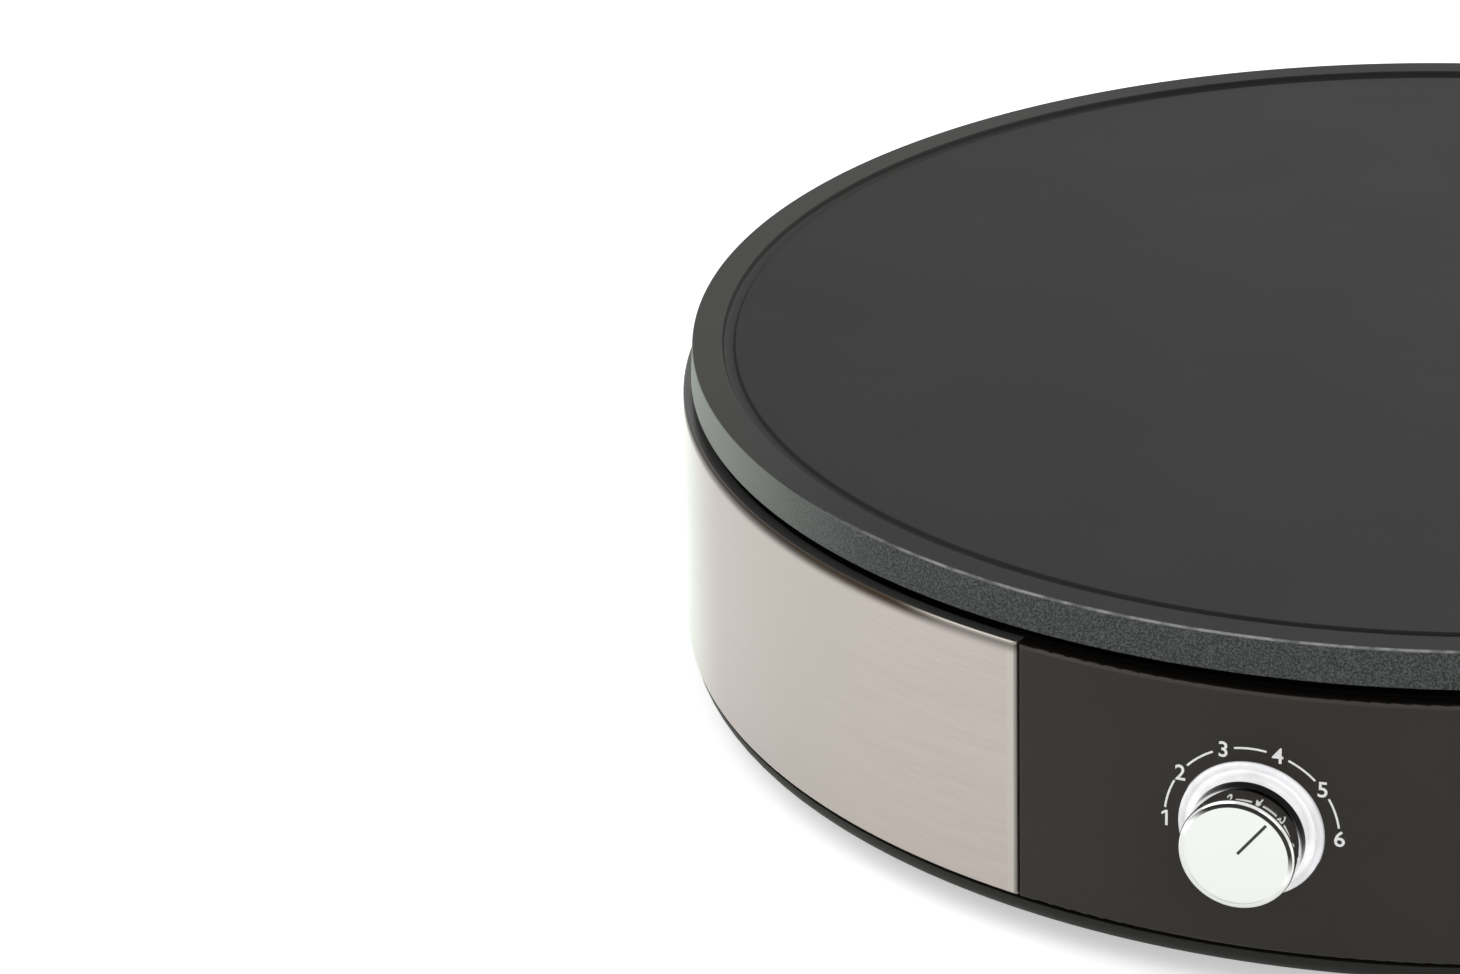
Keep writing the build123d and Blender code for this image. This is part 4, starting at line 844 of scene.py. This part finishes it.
def makeKnobChrome():
    mat, tree, shader = newFinish("knobChrome", knobFinish["side"], knobFinish["sideRough"], 1.0)
    point = piecePoint(tree)
    x, y, z = axes(tree, point)
    above = calc(tree, "SUBTRACT", z, knobAxis)
    radius = fromAxis(tree, x, above)
    faceRadius = knobFinish["faceRadius"] * mm
    beyond = calc(tree, "SUBTRACT", radius, faceRadius)
    behind = calc(tree, "SUBTRACT", y, knobLow.y)
    onFace = times(
        tree,
        fade(tree, beyond, knobFinish["faceEdge"]),
        fade(tree, behind, knobFinish["faceDepth"]),
    )
    onEdge = times(
        tree,
        fade(tree, beyond, knobFinish["edgeStart"]),
        fade(tree, beyond, knobFinish["edgeStop"]),
    )
    # painted dark reflection on the upper side of the rounded edge, painted dimmer reflection on the
    # lower side
    upward = calc(
        tree,
        "ADD",
        times(tree, x, math.sin(knobFinish["reflectionSide"])),
        times(tree, above, math.cos(knobFinish["reflectionSide"])),
    )
    reflectionEnds = [share * faceRadius for share in knobFinish["reflectionFrom"]]
    dimmedEnds = [share * faceRadius for share in knobFinish["dimmedFrom"]]
    reflectedDark = times(tree, onEdge, spread(tree, upward, *reflectionEnds))
    dimmedLowerEdge = times(tree, onEdge, spread(tree, upward, *dimmedEnds))
    # painted dark reflection on the side where it would mirror the lit ring, with its reflection tinted
    # darker where it is black
    stop = fade(tree, behind, knobFinish["darkMirrorStop"])
    mirrorDarkened = times(tree, stop, fade(tree, behind, knobFinish["darkMirrorStart"]))
    black = times(tree, stop, fade(tree, behind, knobFinish["blackStart"]))
    metal = tint(tree, calc(tree, "MAXIMUM", reflectedDark, mirrorDarkened), knobFinish["side"], knobFinish["dark"])
    metal = tint(tree, black, metal, knobFinish["black"])
    metal = tint(tree, dimmedLowerEdge, metal, knobFinish["edge"])
    tree.links.new(tint(tree, onFace, metal, knobFinish["face"]), shader.inputs["Base Color"])
    tree.links.new(tint(tree, black, (1, 1, 1), knobFinish["blackTint"]), shader.inputs["Specular Tint"])
    brushed = calc(tree, "MAXIMUM", onFace, dimmedLowerEdge)
    rough = spread(tree, brushed, 0, 1, knobFinish["sideRough"], knobFinish["faceRough"])
    handled = grain(tree, point, knobFinish["handledScale"], 3.0)
    handled = spread(tree, handled, 0.4, 0.8, 0.0, knobFinish["handled"])
    tree.links.new(calc(tree, "ADD", rough, handled), shader.inputs["Roughness"])
    rings = addNode(tree, "ShaderNodeCombineXYZ", X=times(tree, radius, knobFinish["spinFine"]))
    spun = times(tree, grain(tree, rings.outputs[0], 1.0, 2.0), onFace)
    relief(tree, shader, spun, knobFinish["spin"])
    return mat


lightRing = {
    "inner": 12.5,
    "outer": 14.35,
    "front": 168.33,  # out from the drum's axis
    "back": 162.33,
    "lip": 9.5,
    "lipFront": 166.73,
    "lipBack": 165.73,
    "flange": 15.7,
    "flangeFront": 163.98,
    "flangeBack": 162.78,
    # its rounded front, in mm behind the foremost line
    "innerDrop": 0.8,
    "innerShoulder": 0.25,
    "outerShoulder": 0.12,
    "outerDrop": 0.55,
    "shoulderWidth": 0.35,
    "dropRound": 0.2,
    "shoulderRound": 0.3,
    "crownRound": 0.9,
    "steps": 128,
}
glow = {
    "base": (0.60, 0.60, 0.60),
    "innerBase": (0.70, 0.70, 0.70),
    "light": (0.98, 0.98, 1.0),
    "strength": 0.42,
    "innerStrength": 0.54,
    "innerEdge": (0.1, 0.7),  # mm beyond the inner radius
    "patches": (0.72, 1.0),
    "patchScale": 160,
}


def makeLitDiffuser():
    mat, tree, shader = newFinish("litDiffuser", glow["base"], 0.30)
    point = piecePoint(tree)
    x, _, z = axes(tree, point)
    radius = fromAxis(tree, x, calc(tree, "SUBTRACT", z, knobAxis))
    beyond = calc(tree, "SUBTRACT", radius, lightRing["inner"] * mm)
    outward = fade(tree, beyond, glow["innerEdge"])
    patches = grain(tree, point, glow["patchScale"], 2.0)
    patches = spread(tree, patches, 0.35, 0.65, *glow["patches"])
    shader.inputs["Emission Color"].default_value = (*glow["light"], 1)
    power = spread(tree, outward, 0, 1, glow["innerStrength"], glow["strength"])
    tree.links.new(times(tree, power, patches), shader.inputs["Emission Strength"])
    tree.links.new(tint(tree, outward, glow["innerBase"], glow["base"]), shader.inputs["Base Color"])
    return mat


def makeLightRing():
    finish = finishes["lit_diffuser"]
    inner, outer, front = lightRing["inner"], lightRing["outer"], lightRing["front"]
    shoulder, softly = lightRing["shoulderWidth"], lightRing["shoulderRound"]
    outline = eased(
        [
            (inner, lightRing["back"], 0),
            (inner, lightRing["lipBack"], 0),
            (lightRing["lip"], lightRing["lipBack"], 0),
            (lightRing["lip"], lightRing["lipFront"], 0),
            (inner, lightRing["lipFront"], 0),
            (inner, front - lightRing["innerDrop"], lightRing["dropRound"]),
            (inner + shoulder, front - lightRing["innerShoulder"], softly),
            ((inner + outer) / 2, front, lightRing["crownRound"]),
            (outer - shoulder, front - lightRing["outerShoulder"], softly),
            (outer, front - lightRing["outerDrop"], lightRing["dropRound"]),
            (outer, lightRing["flangeFront"], 0),
            (lightRing["flange"], lightRing["flangeFront"], 0),
            (lightRing["flange"], lightRing["flangeBack"], 0),
            (outer, lightRing["flangeBack"], 0),
            (outer, lightRing["back"], 0),
            (inner, lightRing["back"], 0),
        ]
    )
    mesh = turnedMesh(outline, finish, lightRing["steps"])
    # the ring's axis is laid along -y at the knob's height
    turn = Matrix.Rotation(math.radians(90), 4, "X")
    mesh.transform(Matrix.Translation((0, 0, knobAxis)) @ turn)
    piece = setPiece("glowRing", mesh, finish, "drum")
    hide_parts("light_ring")


ink = {"fresh": (0.95, 0.95, 0.93), "worn": (0.82, 0.82, 0.80), "roughness": 0.5, "grainScale": 2400}


def makePrintedWhite():
    mat, tree, shader = newFinish("printedWhite", ink["fresh"], ink["roughness"])
    worn = spread(tree, grain(tree, piecePoint(tree), ink["grainScale"], 2.0), 0.3, 0.7)
    tree.links.new(tint(tree, worn, ink["worn"], ink["fresh"]), shader.inputs["Base Color"])
    return mat


dial = {
    "radius": 17.3,
    "firstAngle": -91.0,
    "stepAngle": 36.1,
    "numerals": "123456",
    # the numeral 1 with its flag, in shares of a numeral's height
    "one": ((0.17, 0), (0.17, 1), (0.03, 1), (-0.22, 0.82), (-0.22, 0.66), (0.01, 0.82), (0.01, 0)),
    "height": 3.3,
    "capShare": 0.72,  # a numeral's height as a share of the letters' size
    "bold": 0.055,  # how far a numeral's outline is moved outwards
    "gap": 7.4,  # degrees left free on each side of a numeral
    "lineWidth": 0.42,
    "lineSteps": 14,
    "curveSteps": 6,
    "ink": 0.05,
    "lift": 0.01,
}


def wrapOnPanel(mesh):
    # lays a flat print, drawn about the knob's axis in x and y, on the control panel
    for vertex in mesh.vertices:
        x, up, out = vertex.co
        z = knobAxis + up
        reach = math.sqrt((skinRadius(z / mm) * mm) ** 2 - x * x)
        vertex.co = (x, -reach - dial["lift"] * mm - out, z)


def placedOnDial(mesh, k):
    ups = [v.co.y for v in mesh.vertices]
    sides = [v.co.x for v in mesh.vertices]
    angle = math.radians(dial["firstAngle"] + k * dial["stepAngle"])
    spot = Vector((math.sin(angle), math.cos(angle), 0)) * dial["radius"] * mm
    middle = Vector(((min(sides) + max(sides)) / 2, (min(ups) + max(ups)) / 2, 0))
    mesh.transform(Matrix.Translation(spot - middle))
    return mesh


def makeDialPrint():
    halfWidth = dial["lineWidth"] / 2
    strip = turnedMesh(
        [(dial["radius"] - halfWidth, 0), (dial["radius"] + halfWidth, 0)],
        printedWhite,
        dial["lineSteps"],
        start=dial["gap"],
        sweep=dial["stepAngle"] - 2 * dial["gap"],
    )
    count = len(dial["numerals"]) - 1
    arcs = ringMesh(strip, printedWhite, count, 0, dial["firstAngle"], dial["stepAngle"])
    arcs.transform(Matrix.Diagonal((1, -1, 1, 1)))  # azimuths run clockwise from straight up
    prints = [arcs]
    for k, numeral in enumerate(dial["numerals"]):
        if numeral == "1":
            mesh = bpy.data.meshes.new("numeral1")
            tall = dial["height"] * mm
            corners = [(x * tall, up * tall, 0) for x, up in dial["one"]]
            mesh.from_pydata(corners, [], [tuple(range(len(corners)))])
            prints.append(placedOnDial(mesh, k))
            continue
        curve = bpy.data.curves.new("numeral" + numeral, "FONT")
        curve.body = numeral
        curve.size = dial["height"] * mm / dial["capShare"]
        curve.offset = dial["bold"] * mm
        curve.align_x = "CENTER"
        curve.resolution_u = dial["curveSteps"]
        text = bpy.data.objects.new("numeral" + numeral, curve)
        bpy.context.scene.collection.objects.link(text)
        bpy.context.view_layer.update()
        mesh = bpy.data.meshes.new_from_object(text.evaluated_get(bpy.context.evaluated_depsgraph_get()))
        bpy.data.objects.remove(text)
        prints.append(placedOnDial(mesh, k))
    work = bmesh.new()
    for mesh in prints:
        work.from_mesh(mesh)
    bmesh.ops.remove_doubles(work, verts=work.verts, dist=weld)
    for face in work.faces:
        face.normal_update()
        if face.normal.z < 0:
            face.normal_flip()
    base = list(work.faces)
    raised = bmesh.ops.extrude_face_region(work, geom=base, use_keep_orig=True)
    top = [item for item in raised["geom"] if isinstance(item, bmesh.types.BMVert)]
    bmesh.ops.translate(work, verts=top, vec=(0, 0, dial["ink"] * mm))
    mesh = bpy.data.meshes.new("dialPrint")
    work.to_mesh(mesh)
    work.free()
    wrapOnPanel(mesh)
    setPiece("dialPrint", mesh, printedWhite, "drum")


foot = {
    "radius": 11.0,
    "top": 6.0,
    "edge": 1.1,
    "circle": 140.0,
    "grooves": (4.0, 6.2, 8.4),
    "grooveDepth": 0.7,
    "grooveWidth": 0.9,
    "grooveRound": 0.1,
    "stem": 3.0,
    "stemTop": 8.6,
    "barb": 4.2,
    "tip": 2.0,
    "tipTop": 13.5,
    "topRound": 0.2,
    "barbRound": 0.1,
    "tipRound": 0.3,
    "steps": 48,
    "roundSteps": 3,
}


def makeFeet():
    finish = finishes["foot_rubber"]
    depth, half, soft = foot["grooveDepth"], foot["grooveWidth"] / 2, foot["grooveRound"]
    outline = [(0, 0, 0)]
    for radius in foot["grooves"]:
        outline += [
            (radius - half, 0, soft),
            (radius - half, depth, soft),
            (radius + half, depth, soft),
            (radius + half, 0, soft),
        ]
    outline += [
        (foot["radius"], 0, foot["edge"]),
        (foot["radius"], foot["top"], foot["topRound"]),
        (foot["stem"], foot["top"], 0),
        (foot["stem"], foot["stemTop"], 0),
        (foot["barb"], foot["stemTop"], foot["barbRound"]),
        (foot["tip"], foot["tipTop"], foot["tipRound"]),
        (0, foot["tipTop"], 0),
    ]
    mesh = turnedMesh(eased(outline, foot["roundSteps"]), finish, foot["steps"])
    mesh = onDiagonals(mesh, finish, foot["circle"])
    piece = setPiece("feet", mesh, finish, "drum")
    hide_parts("rubber_feet")


innerFinishes = {  # colour, roughness, metallic, grain scale, grain depth in mm
    "element_sheath": ((0.22, 0.19, 0.16), 0.42, 1.0, 900, 0.010),
    "ceramic": ((0.80, 0.77, 0.70), 0.62, 0.0, 1500, 0.020),
    "mica": ((0.52, 0.43, 0.28), 0.40, 0.0, 700, 0.015),
    "plated_steel": ((0.62, 0.62, 0.58), 0.30, 1.0, 1400, 0.006),
    "shield_sheet": ((0.66, 0.66, 0.65), 0.38, 1.0, 300, 0.010),
    "spring_steel": ((0.45, 0.45, 0.46), 0.28, 1.0, 1800, 0.004),
    "board_green": ((0.03, 0.17, 0.08), 0.34, 0.0, 700, 0.010),
    "lamp_white": ((0.88, 0.84, 0.60), 0.22, 0.0, 2500, 0.004),
    "thermostat_metal": ((0.58, 0.58, 0.55), 0.34, 1.0, 600, 0.008),
    "thermostat_moulding": ((0.17, 0.075, 0.035), 0.45, 0.0, 1200, 0.012),
    "brass_tabs": ((0.72, 0.55, 0.27), 0.27, 1.0, 1500, 0.005),
    "copper_tube": ((0.74, 0.40, 0.26), 0.28, 1.0, 1100, 0.006),
    "foot_rubber": ((0.024, 0.024, 0.025), 0.72, 0.0, 1800, 0.030),
    "gland_rubber": ((0.018, 0.018, 0.018), 0.58, 0.0, 1600, 0.022),
    "terminal_moulding": ((0.78, 0.77, 0.72), 0.40, 0.0, 900, 0.010),
    "fuse_metal": ((0.66, 0.64, 0.58), 0.33, 1.0, 900, 0.006),
    "pointer_black": ((0.012, 0.012, 0.012), 0.50, 0.0, 2200, 0.006),
    "sleeve_brown": ((0.20, 0.085, 0.040), 0.44, 0.0, 1300, 0.012),
    "sleeve_black": ((0.022, 0.022, 0.022), 0.44, 0.0, 1300, 0.012),
    "sleeve_blue": ((0.035, 0.12, 0.40), 0.44, 0.0, 1300, 0.012),
}
innerWear = {
    "darker": 0.82,
    "paler": 1.12,
    "cloud": 14,  # how much larger the clouds are than the grain
    "smoother": 0.06,
    "rougher": 0.08,
}


def makeInnerFinish(slotName):
    colour, roughness, metallic, scale, depth = innerFinishes[slotName]
    mat, tree, shader = newFinish(plainWords(slotName), colour, roughness, metallic)
    point = piecePoint(tree)
    pits = grain(tree, point, scale, 3.0, 0.6)
    cloud = grain(tree, point, scale / innerWear["cloud"], 3.0)
    darker, paler = toned(colour, innerWear["darker"]), toned(colour, innerWear["paler"])
    shade = tint(tree, spread(tree, cloud, 0.3, 0.7), darker, paler)
    tree.links.new(shade, shader.inputs["Base Color"])
    smooth, rough = roughness - innerWear["smoother"], roughness + innerWear["rougher"]
    worn = spread(tree, pits, 0.3, 0.7, smooth, rough)
    tree.links.new(worn, shader.inputs["Roughness"])
    relief(tree, shader, pits, depth * mm)
    return mat


earthSleeve = {
    "green": (0.05, 0.28, 0.06),
    "yellow": (0.80, 0.62, 0.04),
    "roughness": 0.44,
    "stripePitch": 7 * mm,
    "stripeEdge": (0.35, 0.45),
    "grainScale": 1300,
    "grainDepth": 0.012 * mm,
}


def makeEarthSleeve():
    mat, tree, shader = newFinish("earthSleeve", earthSleeve["green"], earthSleeve["roughness"])
    point = piecePoint(tree)
    x, y, z = axes(tree, point)
    slant = calc(tree, "ADD", calc(tree, "ADD", x, y), z)
    wave = calc(tree, "SINE", times(tree, slant, 2 * math.pi / earthSleeve["stripePitch"]))
    striped = spread(tree, wave, *earthSleeve["stripeEdge"])
    colour = tint(tree, striped, earthSleeve["green"], earthSleeve["yellow"])
    tree.links.new(colour, shader.inputs["Base Color"])
    relief(tree, shader, grain(tree, point, earthSleeve["grainScale"]), earthSleeve["grainDepth"])
    return mat


finishes = {name: makeInnerFinish(name) for name in innerFinishes}
finishes.update({name: makeMoulding(name) for name in mouldings})
finishes["coated_plate"] = makeCoatedPlate()
finishes["brushed_skin"] = makeBrushedSkin()
finishes["knob_chrome"] = makeKnobChrome()
finishes["lit_diffuser"] = makeLitDiffuser()
finishes["sleeve_green_yellow"] = makeEarthSleeve()
printedWhite = makePrintedWhite()
print(len(finishes) + 1, "finishes made")


def dressNodes():
    slotOf = {part["node"]: part["material_slot"] for part in frame["record"]["subparts"]}
    for node, obj in cadNodes.items():
        for socket in obj.material_slots:
            socket.material = finishes[slotOf[node]]


dressNodes()
print("nodes dressed")

makePlate()
print("plate turned")

makeSteelSkin("steelRight", "side_panel_right", skin["frontHalf"], 180 - skin["rearHalf"])
makeSteelSkin("steelLeft", "side_panel_left", 180 + skin["rearHalf"], 360 - skin["frontHalf"])
print("steel panels folded")

makeLightRing()
print("light ring made")

makeFeet()
print("feet moulded")

makeDialPrint()
print("dial printed")
